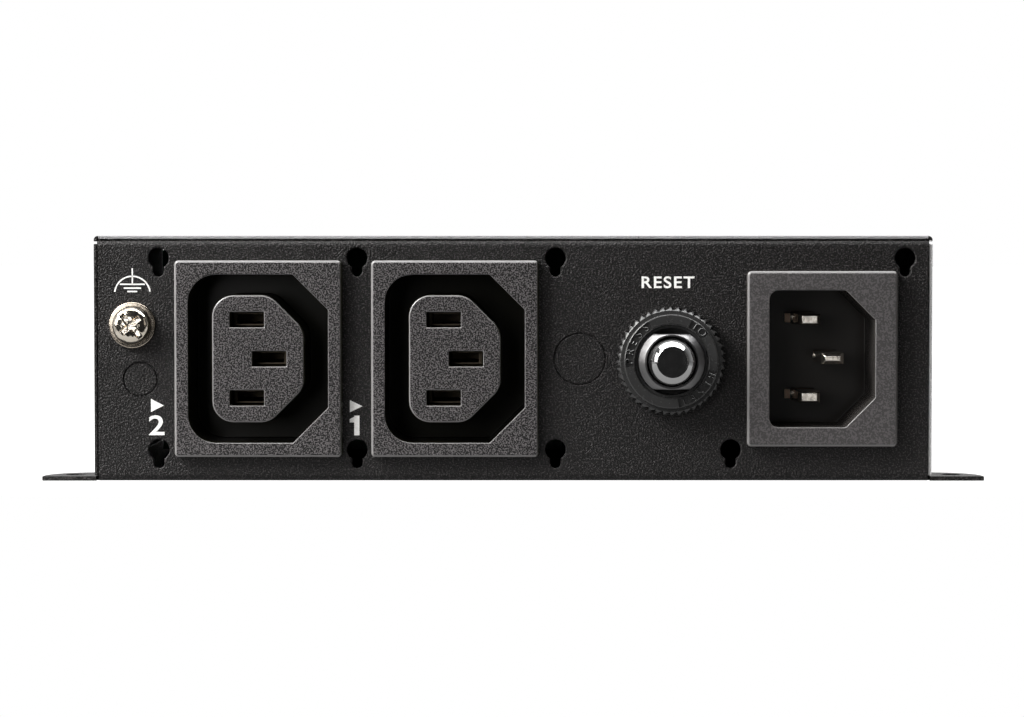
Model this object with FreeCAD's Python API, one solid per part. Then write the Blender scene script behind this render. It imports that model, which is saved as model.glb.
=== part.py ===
import FreeCAD, Part
import math
import os

V = FreeCAD.Vector

# Two-outlet switched power distribution unit in a folded steel case, one rack unit high.
# X runs along the width, Y from the socket panel to the network panel, Z up.
# The origin is the middle of the four ear holes, on the underside. All sizes in millimetres.

# Case
case_width = 150.5
case_depth = 105.0
case_height = 44.0
tray_sheet = 0.8
cover_sheet = 0.6
bend_inside = 0.4
bend_relief = 0.5
cover_bend = 0.15
lip_depth = 9.0
cover_gap = 0.15
cover_setback = 0.3
corner_slit_drop = 0.4
corner_slit_height = 0.45
corner_slit_depth = 4.5

# Mounting ears
ear_reach = 9.45
ear_depth = 10.0
ear_corner = 9.0
ear_setback = 0.2
ear_hole_diameter = 3.6
ear_hole_out = 4.0
ear_hole_in = 4.8

# Countersunk cover screws
cover_screw_head = 5.6
cover_screw_thread = 2.9
cover_screw_length = 5.0
cover_screw_in = 5.0
screw_fit = 0.05

# Gaps along the socket panel, left to right; they share the width that the pieces leave
gap_edge_earth = 2.8
gap_earth_outlet = 3.5
gap_outlets = 5.1
gap_outlet_stud = 3.05
gap_stud_breaker = 2.1
gap_breaker_inlet = 3.8
gap_inlet_edge = 6.45

# Pole layout shared by the outlets and the inlet
pole_pitch = 14.0
earth_offset = 4.0

# Outlets
outlet_flange_width = 30.1
outlet_flange_height = 35.3
outlet_flange_proud = 2.2
flange_corner = 0.8
recess_width = 25.0
recess_height = 30.1
recess_corner = 5.0
recess_chamfer = 6.3
recess_depth = 16.5
outlet_wall = 1.2
outlet_back_wall = 3.6
plug_gap_side = 4.2
plug_gap_end = 3.6
nose_corner = 3.9
nose_chamfer = 6.2
nose_blend = 1.6
nose_setback = 0.2
slot_width = 6.1
slot_height = 2.75
cutout_fit = 0.15
latch_width = 6.0
latch_length = 5.0
latch_height = 0.9
latch_gap = 0.1

# Spring contacts of the outlets
contact_fit = 0.15
contact_leaf = 0.4
contact_side = 0.7
contact_depth = 6.0
contact_heel = 1.5
tail_width = 2.4
tail_thickness = 0.8
tail_past_board = 2.0

# Inlet
inlet_flange_width = 27.0
inlet_flange_height = 31.5
inlet_flange_proud = 2.6
cavity_width = 18.9
cavity_height = 24.5
cavity_depth = 16.6
cavity_corner = 1.7
cavity_chamfer = 5.3
inlet_wall = 1.6
inlet_back_wall = 3.6
pin_width = 4.0
pin_thickness = 2.0
pin_point = 0.5
pole_pin_setback = 3.4
earth_pin_setback = 1.6
pin_fit = 0.05

# Terminal tabs and the flat copper links between them
tab_width = 4.8
tab_thickness = 0.8
tab_length = 8.0
link_thickness = 0.8
link_gap = 0.8
short_link_reach = 5.4
long_link_gap = 2.9

# Reset breaker
breaker_drop = 0.4
breaker_body_width = 14.0
breaker_body_height = 31.0
breaker_body_depth = 28.0
neck_diameter = 11.8
neck_flats = 9.9
neck_past_nut = 1.7
neck_dish_diameter = 9.4
neck_dish_depth = 0.9
neck_hole_fit = 0.2
nut_diameter = 19.6
nut_teeth = 44
nut_tooth_depth = 0.55
nut_tooth_lean = 0.6
nut_skirt = 3.4
nut_height = 4.6
nut_face_diameter = 16.9
nut_mouth_diameter = 13.0
nut_mouth_depth = 1.0
nut_fit = 0.1
button_diameter = 8.3
button_bevel = 1.1
button_proud = 2.6
button_travel = 4.0
button_fit = 0.3
collar_size = 9.4
collar_thickness = 1.6
collar_gap = 0.3

# Earth point on the socket panel
earth_raise = 6.0
earth_washer_diameter = 8.3
earth_washer_thickness = 0.8
earth_head_diameter = 7.0
earth_head_height = 2.6
earth_head_top = 4.6
earth_head_rim = 0.9
earth_recess_width = 0.9
earth_recess_length = 4.2
earth_recess_depth = 1.3
earth_recess_turn = 55.0
earth_thread = 3.9
earth_hole_fit = 0.1
earth_nut_flats = 7.0
earth_nut_height = 3.2
earth_screw_past_nut = 1.0
strap_thickness = 0.8
strap_width = 7.0
strap_end = 3.6
strap_reach = 4.4
strap_nut_flats = 5.5
strap_nut_height = 2.4

# Flush stud heads and keyholes in the socket panel
small_stud_across = 1.4
small_stud_drop = 3.7
small_stud_diameter = 5.4
small_stud_stem = 2.9
small_stud_length = 4.6
large_stud_drop = 0.1
large_stud_diameter = 8.6
stud_groove_width = 0.3
stud_groove_depth = 0.25
stud_fit = 0.05
keyhole_diameter = 3.6
keyhole_slot = 1.8
keyhole_drop = 2.36
keyhole_top_in = 4.0
keyhole_bottom_z = 5.6
keyhole_reach = 18.0
inlet_keyhole_left = 16.2
edge_keyhole_in = 4.95

# Boards
board_thickness = 1.6
outlet_board_gap = 2.0
outlet_board_margin = 19.5
outlet_board_raise = 3.6
outlet_board_top_gap = 2.0
board_hole_fit = 0.2
main_board_side_gap = 7.5
main_board_front_gap = 3.0
main_board_rear_gap = 0.6
board_post_height = 6.2
board_post_flats = 5.0
board_post_pin = 2.8
board_post_past = 2.0
board_post_in = 5.0

# Pieces on the boards
relay_width = 12.7
relay_height = 28.0
relay_depth = 15.7
relay_gap = 1.2
relay_raise = 2.0
sensor_size = 10.0
sensor_window = 4.4
sensor_depth = 6.5
sensor_pitch = 12.5
sensor_drop = 1.0
sensor_in = 9.6
feed_tab_in = 4.6
feed_tab_pitch = 7.2
supply_width = 42.0
supply_length = 30.0
supply_height = 19.0
supply_side_gap = 8.0
supply_front_gap = 1.5
capacitor_diameter = 10.0
capacitor_height = 16.0
capacitor_gap = 4.0
capacitor_forward = 6.0
processor_size = 14.0
processor_height = 1.4
processor_across = 6.0
processor_forward = 5.0
header_width = 24.0
header_depth = 6.0
header_height = 3.4
ribbon_width = 20.0
ribbon_thickness = 0.9
ribbon_bend = 3.0

# Jacks and lamps on the network panel
jack_width = 16.0
jack_height = 13.4
jack_depth = 18.0
jack_proud = 0.3
jack_mouth_width = 11.9
jack_mouth_height = 7.0
jack_mouth_low = 4.2
jack_mouth_depth = 13.0
jack_key_width = 6.2
jack_key_height = 1.6
jack_fit = 0.2
jack_pins = 8
jack_pin_pitch = 1.02
jack_pin_width = 0.4
jack_pin_drop = 3.2
lan_jack_in = 25.0
jack_pitch = 20.0
lamp_first_out = 20.0
lamp_pitch = 7.0
lamp_count = 3
lamp_width = 2.0
lamp_height = 4.0
lamp_proud = 0.8
lamp_fit = 0.15
lamp_block = 4.4
lamp_block_in = 4.0

# Derived places
front = -case_depth / 2
rear = case_depth / 2
panel_inner = front + tray_sheet
socket_z = case_height / 2
tray_top = case_height - cover_sheet
bend_outside = bend_inside + tray_sheet
panel_edge = case_width / 2 - cover_sheet - cover_bend
board_edge_x = panel_edge - main_board_side_gap
ear_front = front + ear_setback
ear_hole_x = case_width / 2 + ear_hole_out
ear_hole_y = ear_front + ear_hole_in
outlet_face = front - outlet_flange_proud
outlet_floor = outlet_face + recess_depth
outlet_back = outlet_floor + outlet_back_wall
nose_width = recess_width - 2 * plug_gap_side
nose_height = recess_height - 2 * plug_gap_end
inlet_face = front - inlet_flange_proud
inlet_floor = inlet_face + cavity_depth
inlet_back = inlet_floor + inlet_back_wall
nut_front = front - nut_height
neck_front = nut_front - neck_past_nut
button_front = neck_front - button_proud
breaker_back = panel_inner + breaker_body_depth
collar_front = panel_inner + collar_gap + button_travel
outlet_board_front = outlet_back + outlet_board_gap
outlet_board_back = outlet_board_front + board_thickness
board_low = tray_sheet + board_post_height
board_top = board_low + board_thickness
outlet_board_low = tray_sheet + outlet_board_raise
short_link_y = breaker_back + short_link_reach
long_link_y = breaker_back + tab_length + long_link_gap + tab_width / 2
main_board_front = long_link_y + tab_width / 2 + main_board_front_gap
main_board_back = rear - tray_sheet - main_board_rear_gap
main_board_middle = (main_board_front + main_board_back) / 2
lan_jack_x = board_edge_x - lan_jack_in
link_jack_x = lan_jack_x - jack_pitch
sensor_jack_x = link_jack_x - jack_pitch
lamp_z = board_top + jack_height / 2
supply_x = supply_side_gap + supply_width / 2 - board_edge_x
panel_pieces = [
    (gap_edge_earth, earth_washer_diameter),
    (gap_earth_outlet, outlet_flange_width),
    (gap_outlets, outlet_flange_width),
    (gap_outlet_stud, large_stud_diameter),
    (gap_stud_breaker, nut_diameter),
    (gap_breaker_inlet, inlet_flange_width),
]
gaps_width = sum(gap for gap, width in panel_pieces) + gap_inlet_edge
gap_share = (case_width - sum(width for gap, width in panel_pieces)) / gaps_width


def panel_places():
    """Middles of the pieces along the socket panel, from its left edge."""
    edge = -case_width / 2
    places = []
    for gap, width in panel_pieces:
        edge += gap * gap_share + width
        places.append(edge - width / 2)
    return places


earth_x, outlet_2_x, outlet_1_x, large_stud_x, breaker_x, inlet_x = panel_places()
earth_z = socket_z + earth_raise
breaker_z = socket_z - breaker_drop
small_stud_x = earth_x + small_stud_across
small_stud_z = socket_z - small_stud_drop
large_stud_z = socket_z - large_stud_drop
keyhole_top_z = case_height - keyhole_top_in
outlets = {"outlet_1": outlet_1_x, "outlet_2": outlet_2_x}
outlet_middle_x = (outlet_1_x + outlet_2_x) / 2
poles = {
    "line": (-earth_offset / 2, pole_pitch / 2),
    "neutral": (-earth_offset / 2, -pole_pitch / 2),
    "earth": (earth_offset / 2, 0.0),
}
jacks = {"lan_jack": lan_jack_x, "link_jack": link_jack_x, "sensor_jack": sensor_jack_x}
upper_pole_z = socket_z + pole_pitch / 2
lower_pole_z = socket_z - pole_pitch / 2
feed_right_x = outlet_1_x + outlet_board_margin - feed_tab_in
feed_left_x = feed_right_x - feed_tab_pitch
strap_x = small_stud_x + strap_reach
keyholes = [
    (outlet_2_x - keyhole_reach, keyhole_top_z),
    (outlet_2_x - keyhole_reach, keyhole_bottom_z),
    (outlet_middle_x, keyhole_top_z),
    (outlet_middle_x, keyhole_bottom_z),
    (outlet_1_x + keyhole_reach, keyhole_top_z),
    (outlet_1_x + keyhole_reach, keyhole_bottom_z),
    (inlet_x - inlet_keyhole_left, keyhole_bottom_z),
    (case_width / 2 - edge_keyhole_in, keyhole_top_z),
]


# Outlines and simple solids

def facing_front(y):
    """Places for an outline drawn on a plane parallel to the socket panel."""
    return lambda x, z: V(x, y, z)


def side_on(x):
    """Places for an outline drawn in the depth and height directions."""
    return lambda y, z: V(x, y, z)


def lying(z):
    """Places for an outline drawn flat, seen from above."""
    return lambda x, y: V(x, y, z)


def outline(corners, place):
    """Closed wire through (a, b, radius) corners, each rounded by a tangent arc."""
    points = [place(a, b) for a, b, radius in corners]
    runs = []
    for index, (a, b, radius) in enumerate(corners):
        here = points[index]
        if radius == 0:
            runs.append((here, None, here))
            continue
        back = (points[index - 1] - here).normalize()
        ahead = (points[(index + 1) % len(points)] - here).normalize()
        half = back.getAngle(ahead) / 2
        reach = radius / math.tan(half)
        middle = here + (back + ahead).normalize() * (radius / math.sin(half) - radius)
        runs.append((here + back * reach, middle, here + ahead * reach))
    edges = []
    for index, (entry, middle, leave) in enumerate(runs):
        if middle is not None:
            edges.append(Part.Arc(entry, middle, leave).toShape())
        following = runs[(index + 1) % len(runs)][0]
        if leave.distanceToPoint(following) > 1e-6:
            edges.append(Part.LineSegment(leave, following).toShape())
    return Part.Wire(edges)


def prism(corners, place, sweep):
    return Part.Face(outline(corners, place)).extrude(sweep)


def front_prism(corners, near, far):
    """Outline facing the front, extruded from depth near to depth far."""
    return prism(corners, facing_front(near), V(0, far - near, 0))


def rectangle(x, z, width, height, corner=0):
    left = x - width / 2
    right = x + width / 2
    low = z - height / 2
    high = z + height / 2
    return [(left, low, corner), (right, low, corner), (right, high, corner), (left, high, corner)]


def socket_shape(x, z, width, height, corner, chamfer, blend):
    """Six-sided connector outline: rounded on the pole side, chamfered on the earth side."""
    left = x - width / 2
    right = x + width / 2
    low = z - height / 2
    high = z + height / 2
    return [
        (left, low, corner),
        (right - chamfer, low, blend),
        (right, low + chamfer, blend),
        (right, high - chamfer, blend),
        (right - chamfer, high, blend),
        (left, high, corner),
    ]


def box(x_span, y_span, z_span):
    lows = V(x_span[0], y_span[0], z_span[0])
    return Part.makeBox(x_span[1] - x_span[0], y_span[1] - y_span[0], z_span[1] - z_span[0], lows)


def rod(x, z, diameter, near, far):
    """Cylinder along the depth, between two depths."""
    return Part.makeCylinder(diameter / 2, far - near, V(x, near, z), V(0, 1, 0))


def post(x, y, diameter, low, high):
    return Part.makeCylinder(diameter / 2, high - low, V(x, y, low))


def turned(profile, x, z):
    """Solid of revolution about an axis along the depth; profile holds (radius, depth, round)."""
    face = Part.Face(outline(profile, lambda radius, depth: V(x + radius, depth, z)))
    return face.revolve(V(x, 0, z), V(0, 1, 0), 360)


def bevel_at(solid, depth, width):
    """Bevel the edges that lie at one depth."""
    edges = []
    for edge in solid.Edges:
        if all(abs(corner.Y - depth) < 1e-6 for corner in edge.Vertexes):
            edges.append(edge)
    return solid.makeChamfer(width, edges)


def hexagon(x, y, flats):
    """Corners of a hexagon with two flats square to the first direction."""
    reach = flats / math.sqrt(3)
    corners = []
    for step in range(6):
        angle = math.pi / 3 * (step + 0.5)
        corners.append((x + reach * math.cos(angle), y + reach * math.sin(angle), 0))
    return corners


def mirrored(solid):
    """Copy on the other side of the middle plane x = 0."""
    return solid.mirror(V(0, 0, 0), V(1, 0, 0))


def turned_about(solid):
    """Copy at the opposite end of the case, turned half round about Z."""
    copy = solid.copy()
    copy.rotate(V(0, 0, 0), V(0, 0, 1), 180)
    return copy


# Folded case

def tray_section():
    """Folded strip from lip to lip: panel, floor and panel, with rounded bends."""
    inner_front = front + tray_sheet
    inner_rear = rear - tray_sheet
    inner_top = tray_top - tray_sheet
    return [
        (front + lip_depth, tray_top, 0),
        (front, tray_top, bend_outside),
        (front, 0, bend_outside),
        (rear, 0, bend_outside),
        (rear, tray_top, bend_outside),
        (rear - lip_depth, tray_top, 0),
        (rear - lip_depth, inner_top, 0),
        (inner_rear, inner_top, bend_inside),
        (inner_rear, tray_sheet, bend_inside),
        (inner_front, tray_sheet, bend_inside),
        (inner_front, inner_top, bend_inside),
        (front + lip_depth, inner_top, 0),
    ]


def mounting_ear():
    """Right-hand front ear, an extension of the floor with one screw hole."""
    inner = panel_edge + bend_relief
    tip = case_width / 2 + ear_reach
    corners = [
        (inner, ear_front, 0),
        (tip, ear_front, 0),
        (tip, ear_front + ear_depth, ear_corner),
        (inner, ear_front + ear_depth, 0),
    ]
    ear = prism(corners, lying(0), V(0, 0, tray_sheet))
    return ear.cut(post(ear_hole_x, ear_hole_y, ear_hole_diameter, 0, tray_sheet))


def keyhole(x, z):
    """Round hole with a narrow slot running down from it."""
    head = rod(x, z, keyhole_diameter, front, panel_inner)
    foot = rod(x, z - keyhole_drop, keyhole_slot, front, panel_inner)
    neck = rectangle(x, z - keyhole_drop / 2, keyhole_slot, keyhole_drop)
    return head.fuse([foot, front_prism(neck, front, panel_inner)])


def stud_pocket(x, z, diameter):
    """Shallow pocket for a flush head, which leaves a fine groove round it."""
    return rod(x, z, diameter + 2 * stud_groove_width, front, front + stud_groove_depth)


def cover_screw(y, fit):
    """Countersunk screw with its head flush with the cover, grown by fit on every side."""
    head = cover_screw_head / 2 + fit
    thread = cover_screw_thread / 2 + fit
    cone = Part.makeCone(thread, head, head - thread, V(large_stud_x, y, case_height - head + thread))
    shank = post(large_stud_x, y, 2 * thread, case_height - cover_screw_length - fit, case_height)
    return cone.fuse(shank).removeSplitter()


def cover_screws(fit=0):
    """One screw in each lip of the tray, where nothing stands close below."""
    return [cover_screw(y, fit) for y in (front + cover_screw_in, rear - cover_screw_in)]


def panel_openings():
    """Everything cut through the socket panel."""
    tools = []
    for x in outlets.values():
        width = recess_width + 2 * (outlet_wall + cutout_fit)
        height = recess_height + 2 * (outlet_wall + cutout_fit)
        tools.append(front_prism(rectangle(x, socket_z, width, height), front, panel_inner))
    width = cavity_width + 2 * (inlet_wall + cutout_fit)
    height = cavity_height + 2 * (inlet_wall + cutout_fit)
    tools.append(front_prism(rectangle(inlet_x, socket_z, width, height), front, panel_inner))
    tools.append(rod(breaker_x, breaker_z, neck_diameter + 2 * neck_hole_fit, front, panel_inner))
    tools.append(rod(earth_x, earth_z, earth_thread + 2 * earth_hole_fit, front, panel_inner))
    tools.append(rod(small_stud_x, small_stud_z, small_stud_stem + 2 * stud_fit, front, panel_inner))
    tools.append(stud_pocket(small_stud_x, small_stud_z, small_stud_diameter))
    tools.append(stud_pocket(large_stud_x, large_stud_z, large_stud_diameter))
    tools.extend(keyhole(x, z) for x, z in keyholes)
    return tools


def network_openings():
    """Everything cut through the network panel."""
    inner = rear - tray_sheet
    tools = []
    cut_width = jack_width + 2 * jack_fit
    cut_height = jack_height + 2 * jack_fit
    for x in jacks.values():
        window = rectangle(x, board_top + jack_height / 2, cut_width, cut_height)
        tools.append(front_prism(window, inner, rear))
    for x in lamp_places():
        window = rectangle(x, lamp_z, lamp_width + 2 * lamp_fit, lamp_height + 2 * lamp_fit)
        tools.append(front_prism(window, inner, rear))
    return tools


def base_tray():
    strip = prism(tray_section(), side_on(-panel_edge), V(2 * panel_edge, 0, 0))
    inset = bend_outside + bend_relief
    half = case_width / 2
    floor = box((-half, half), (front + inset, rear - inset), (0, tray_sheet))
    pieces = [floor]
    for ear in (mounting_ear(), mirrored(mounting_ear())):
        pieces.extend((ear, turned_about(ear)))
    tray = strip.fuse(pieces).removeSplitter()
    tools = panel_openings() + network_openings()
    tools.extend(cover_screws(screw_fit))
    return tray.cut(tools)


def top_cover():
    """Inverted channel: top and both side walls, slit at its four top corners."""
    half = case_width / 2
    inner = half - cover_sheet
    low = tray_sheet + cover_gap
    corners = [
        (-half, low, 0),
        (-inner, low, 0),
        (-inner, tray_top, cover_bend),
        (inner, tray_top, cover_bend),
        (inner, low, 0),
        (half, low, 0),
        (half, case_height, cover_bend + cover_sheet),
        (-half, case_height, cover_bend + cover_sheet),
    ]
    near = front + cover_setback
    far = rear - cover_setback
    cover = front_prism(corners, near, far)
    slit_top = tray_top - corner_slit_drop
    slit_z = (slit_top - corner_slit_height, slit_top)
    tools = []
    for slit_y in ((near, near + corner_slit_depth), (far - corner_slit_depth, far)):
        for slit_x in ((-half, -inner), (inner, half)):
            tools.append(box(slit_x, slit_y, slit_z))
    tools.extend(cover_screws(screw_fit))
    return cover.cut(tools)


def small_stud():
    """Threaded stud pressed into the panel, its head level with the paint and its stem inside."""
    head = rod(small_stud_x, small_stud_z, small_stud_diameter, front, front + stud_groove_depth)
    stem = rod(small_stud_x, small_stud_z, small_stud_stem, front, panel_inner + small_stud_length)
    return head.fuse(stem).removeSplitter()


def large_stud():
    """Head welded flush into the panel."""
    return rod(large_stud_x, large_stud_z, large_stud_diameter, front, front + stud_groove_depth)


# Outlets

def flange_plate(x, width, height, face):
    return front_prism(rectangle(x, socket_z, width, height, flange_corner), face, front)


def latch(x, surface, up):
    """Snap wedge behind the panel, on the upper or lower face of a connector body."""
    near = panel_inner + latch_gap
    corners = [
        (near, surface - up * outlet_wall / 2, 0),
        (near + latch_length, surface - up * outlet_wall / 2, 0),
        (near + latch_length, surface, 0),
        (near, surface + up * latch_height, 0),
    ]
    return prism(corners, side_on(x - latch_width / 2), V(latch_width, 0, 0))


def latched_body(x, width, height, back):
    """Connector body behind the panel with a snap wedge above and below."""
    body = front_prism(rectangle(x, socket_z, width, height), front, back)
    top = latch(x, socket_z + height / 2, 1)
    bottom = latch(x, socket_z - height / 2, -1)
    return body.fuse([top, bottom])


def outlet_housing(x):
    """Moulded outlet: flange, deep recess and a nose with three contact slots."""
    plate = flange_plate(x, outlet_flange_width, outlet_flange_height, outlet_face)
    width = recess_width + 2 * outlet_wall
    height = recess_height + 2 * outlet_wall
    shell = plate.fuse(latched_body(x, width, height, outlet_back))
    recess_sizes = (recess_width, recess_height, recess_corner, recess_chamfer, 0)
    shell = shell.cut(front_prism(socket_shape(x, socket_z, *recess_sizes), outlet_face, outlet_floor))
    nose_front = outlet_face + nose_setback
    nose_sizes = (nose_width, nose_height, nose_corner, nose_chamfer, nose_blend)
    nose = front_prism(socket_shape(x, socket_z, *nose_sizes), nose_front, outlet_floor)
    shell = shell.fuse(nose).removeSplitter()
    slots = []
    for across, up in poles.values():
        slot = rectangle(x + across, socket_z + up, slot_width, slot_height)
        slots.append(front_prism(slot, outlet_face, outlet_back))
    return shell.cut(slots)


def spring_contact(x, z, side):
    """Folded clip that grips a plug pin, closed on one side, with a tail in the outlet board."""
    width = slot_width - 2 * contact_fit
    high = z + slot_height / 2 - contact_fit
    low = z - slot_height / 2 + contact_fit
    near = outlet_face + contact_depth
    heel = outlet_back - contact_heel
    corners = [
        (near, low, 0),
        (outlet_back, low, 0),
        (outlet_back, high, 0),
        (near, high, 0),
        (near, high - contact_leaf, 0),
        (heel, high - contact_leaf, 0),
        (heel, low + contact_leaf, 0),
        (near, low + contact_leaf, 0),
    ]
    clip = prism(corners, side_on(x - width / 2), V(width, 0, 0))
    wall_shape = rectangle(x + side * (width - contact_side) / 2, z, contact_side, high - low)
    wall = front_prism(wall_shape, near, outlet_back)
    tail_shape = rectangle(x, z, tail_width, tail_thickness)
    tail = front_prism(tail_shape, outlet_back, outlet_board_back + tail_past_board)
    return clip.fuse([wall, tail]).removeSplitter()


# Inlet

def inlet_housing():
    """Moulded inlet: flange and a deep cavity with three pins standing in it."""
    plate = flange_plate(inlet_x, inlet_flange_width, inlet_flange_height, inlet_face)
    width = cavity_width + 2 * inlet_wall
    height = cavity_height + 2 * inlet_wall
    shell = plate.fuse(latched_body(inlet_x, width, height, inlet_back)).removeSplitter()
    cavity_sizes = (cavity_width, cavity_height, cavity_corner, cavity_chamfer, 0)
    tools = [front_prism(socket_shape(inlet_x, socket_z, *cavity_sizes), inlet_face, inlet_floor)]
    for across, up in poles.values():
        width = pin_width + 2 * pin_fit
        height = pin_thickness + 2 * pin_fit
        hole = rectangle(inlet_x + across, socket_z + up, width, height)
        tools.append(front_prism(hole, inlet_floor, inlet_back))
    return shell.cut(tools)


def inlet_pin(pole):
    """Flat pin with a pointed tip in the cavity and a terminal tab behind the housing."""
    across, up = poles[pole]
    x = inlet_x + across
    z = socket_z + up
    setback = earth_pin_setback if pole == "earth" else pole_pin_setback
    tip = inlet_face + setback
    blade = front_prism(rectangle(x, z, pin_width, pin_thickness), tip, inlet_back)
    blade = bevel_at(blade, tip, pin_point)
    return blade.fuse(terminal_tab(x, z, inlet_back)).removeSplitter()


def terminal_tab(x, z, root):
    """Flat terminal that stands back from depth root."""
    return front_prism(rectangle(x, z, tab_width, tab_thickness), root, root + tab_length)


# Reset breaker

def breaker_body():
    """Sealed body behind the panel, hollowed for the button's collar."""
    shape = rectangle(breaker_x, breaker_z, breaker_body_width, breaker_body_height)
    body = front_prism(shape, panel_inner, breaker_back)
    chamber_back = collar_front + collar_thickness + collar_gap
    chamber_size = collar_size + 2 * button_fit
    chamber = rectangle(breaker_x, breaker_z, chamber_size, chamber_size)
    return body.cut(front_prism(chamber, panel_inner, chamber_back))


def breaker_bushing():
    """Metal neck on the breaker's face: flatted above and below, dished round the button."""
    flats = rectangle(breaker_x, breaker_z, neck_diameter, neck_flats)
    neck = rod(breaker_x, breaker_z, neck_diameter, neck_front, panel_inner)
    neck = neck.common(front_prism(flats, neck_front, panel_inner))
    tools = [
        rod(breaker_x, breaker_z, neck_dish_diameter, neck_front, neck_front + neck_dish_depth),
        rod(breaker_x, breaker_z, button_diameter + 2 * button_fit, neck_front, panel_inner),
    ]
    return neck.cut(tools)


def breaker_nut():
    """Round nut with a toothed skirt and a raised face."""
    tip = nut_diameter / 2
    root = tip - nut_tooth_depth
    step = 2 * math.pi / nut_teeth
    corners = []
    for tooth in range(nut_teeth):
        for radius, share in ((root, 0), (tip, nut_tooth_lean)):
            angle = (tooth + share) * step
            x = breaker_x + radius * math.cos(angle)
            z = breaker_z + radius * math.sin(angle)
            corners.append((x, z, 0))
    skirt = front_prism(corners, front - nut_skirt, front)
    nut = skirt.fuse(rod(breaker_x, breaker_z, nut_face_diameter, nut_front, front))
    tools = [
        rod(breaker_x, breaker_z, neck_diameter + 2 * nut_fit, nut_front, front),
        rod(breaker_x, breaker_z, nut_mouth_diameter, nut_front, nut_front + nut_mouth_depth),
    ]
    return nut.cut(tools)


def reset_button():
    """Round push button that slides in the breaker's neck, held by a square collar."""
    radius = button_diameter / 2
    profile = [
        (0, button_front, 0),
        (radius - button_bevel, button_front, 0),
        (radius, button_front + button_bevel, 0),
        (radius, collar_front, 0),
        (0, collar_front, 0),
    ]
    shape = rectangle(breaker_x, breaker_z, collar_size, collar_size)
    collar = front_prism(shape, collar_front, collar_front + collar_thickness)
    return turned(profile, breaker_x, breaker_z).fuse(collar).removeSplitter()


def breaker_tab(z):
    return terminal_tab(breaker_x, z, breaker_back)


# Earth point

def earth_washer():
    washer = rod(earth_x, earth_z, earth_washer_diameter, front - earth_washer_thickness, front)
    hole = rod(earth_x, earth_z, earth_thread + 2 * screw_fit, front - earth_washer_thickness, front)
    return washer.cut(hole)


def earth_screw():
    """Raised-head screw with a crossed recess, through the panel to the nut inside."""
    seat = front - earth_washer_thickness
    top = seat - earth_head_height
    end = panel_inner + earth_nut_height + earth_screw_past_nut
    profile = [
        (0, top, 0),
        (earth_head_top / 2, top, 0),
        (earth_head_diameter / 2, seat - earth_head_rim, 0),
        (earth_head_diameter / 2, seat, 0),
        (earth_thread / 2, seat, 0),
        (earth_thread / 2, end, 0),
        (0, end, 0),
    ]
    long_bar = rectangle(earth_x, earth_z, earth_recess_length, earth_recess_width)
    cross_bar = rectangle(earth_x, earth_z, earth_recess_width, earth_recess_length)
    tools = []
    for bar in (long_bar, cross_bar):
        cut = front_prism(bar, top, top + earth_recess_depth)
        cut.rotate(V(earth_x, 0, earth_z), V(0, 1, 0), earth_recess_turn)
        tools.append(cut)
    return turned(profile, earth_x, earth_z).cut(tools)


def hex_nut(x, z, flats, thread, near, height):
    nut = front_prism(hexagon(x, z, flats), near, near + height)
    return nut.cut(rod(x, z, thread + 2 * screw_fit, near, near + height))


def earth_nut():
    return hex_nut(earth_x, earth_z, earth_nut_flats, earth_thread, panel_inner, earth_nut_height)


def earth_strap():
    """Bent strip from the small stud to the outlet board, which earths the case."""
    far = panel_inner + strap_thickness
    corners = [
        (small_stud_x - strap_end, panel_inner, 0),
        (strap_x, panel_inner, bend_inside + strap_thickness),
        (strap_x, outlet_board_back, 0),
        (strap_x - strap_thickness, outlet_board_back, 0),
        (strap_x - strap_thickness, far, bend_inside),
        (small_stud_x - strap_end, far, 0),
    ]
    strip = prism(corners, lying(small_stud_z - strap_width / 2), V(0, 0, strap_width))
    return strip.cut(rod(small_stud_x, small_stud_z, small_stud_stem + 2 * stud_fit, panel_inner, far))


def strap_nut():
    near = panel_inner + strap_thickness
    place = (small_stud_x, small_stud_z, strap_nut_flats, small_stud_stem)
    return hex_nut(*place, near, strap_nut_height)


# Boards and what they carry

def outlet_board():
    """Upright board behind the outlets, hung on their contact tails."""
    left = outlet_2_x - outlet_board_margin
    right = outlet_1_x + outlet_board_margin
    high = tray_top - outlet_board_top_gap
    board = box((left, right), (outlet_board_front, outlet_board_back), (outlet_board_low, high))
    tools = []
    for x in outlets.values():
        for across, up in poles.values():
            width = tail_width + 2 * board_hole_fit
            height = tail_thickness + 2 * board_hole_fit
            hole = rectangle(x + across, socket_z + up, width, height)
            tools.append(front_prism(hole, outlet_board_front, outlet_board_back))
    width = strap_thickness + 2 * board_hole_fit
    slot = rectangle(strap_x - strap_thickness / 2, small_stud_z, width, strap_width + 2 * board_hole_fit)
    tools.append(front_prism(slot, outlet_board_front, outlet_board_back))
    return board.cut(tools)


def relay(side):
    """Sealed relay on the back of the outlet board, one for each outlet."""
    x = outlet_middle_x + side * (relay_width + relay_gap) / 2
    shape = rectangle(x, socket_z + relay_raise, relay_width, relay_height)
    return front_prism(shape, outlet_board_back, outlet_board_back + relay_depth)


def current_sensor(level):
    """Windowed current transformer against the back of the outlet board."""
    x = outlet_2_x - outlet_board_margin + sensor_in
    z = socket_z - sensor_drop + level * sensor_pitch
    far = outlet_board_back + sensor_depth
    block = front_prism(rectangle(x, z, sensor_size, sensor_size), outlet_board_back, far)
    return block.cut(front_prism(rectangle(x, z, sensor_window, sensor_window), outlet_board_back, far))


def feed_tabs():
    """Terminals on the back of the outlet board: load line, neutral and earth."""
    places = ((feed_right_x, lower_pole_z), (feed_left_x, lower_pole_z), (feed_right_x, socket_z))
    return [terminal_tab(x, z, outlet_board_back) for x, z in places]


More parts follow.
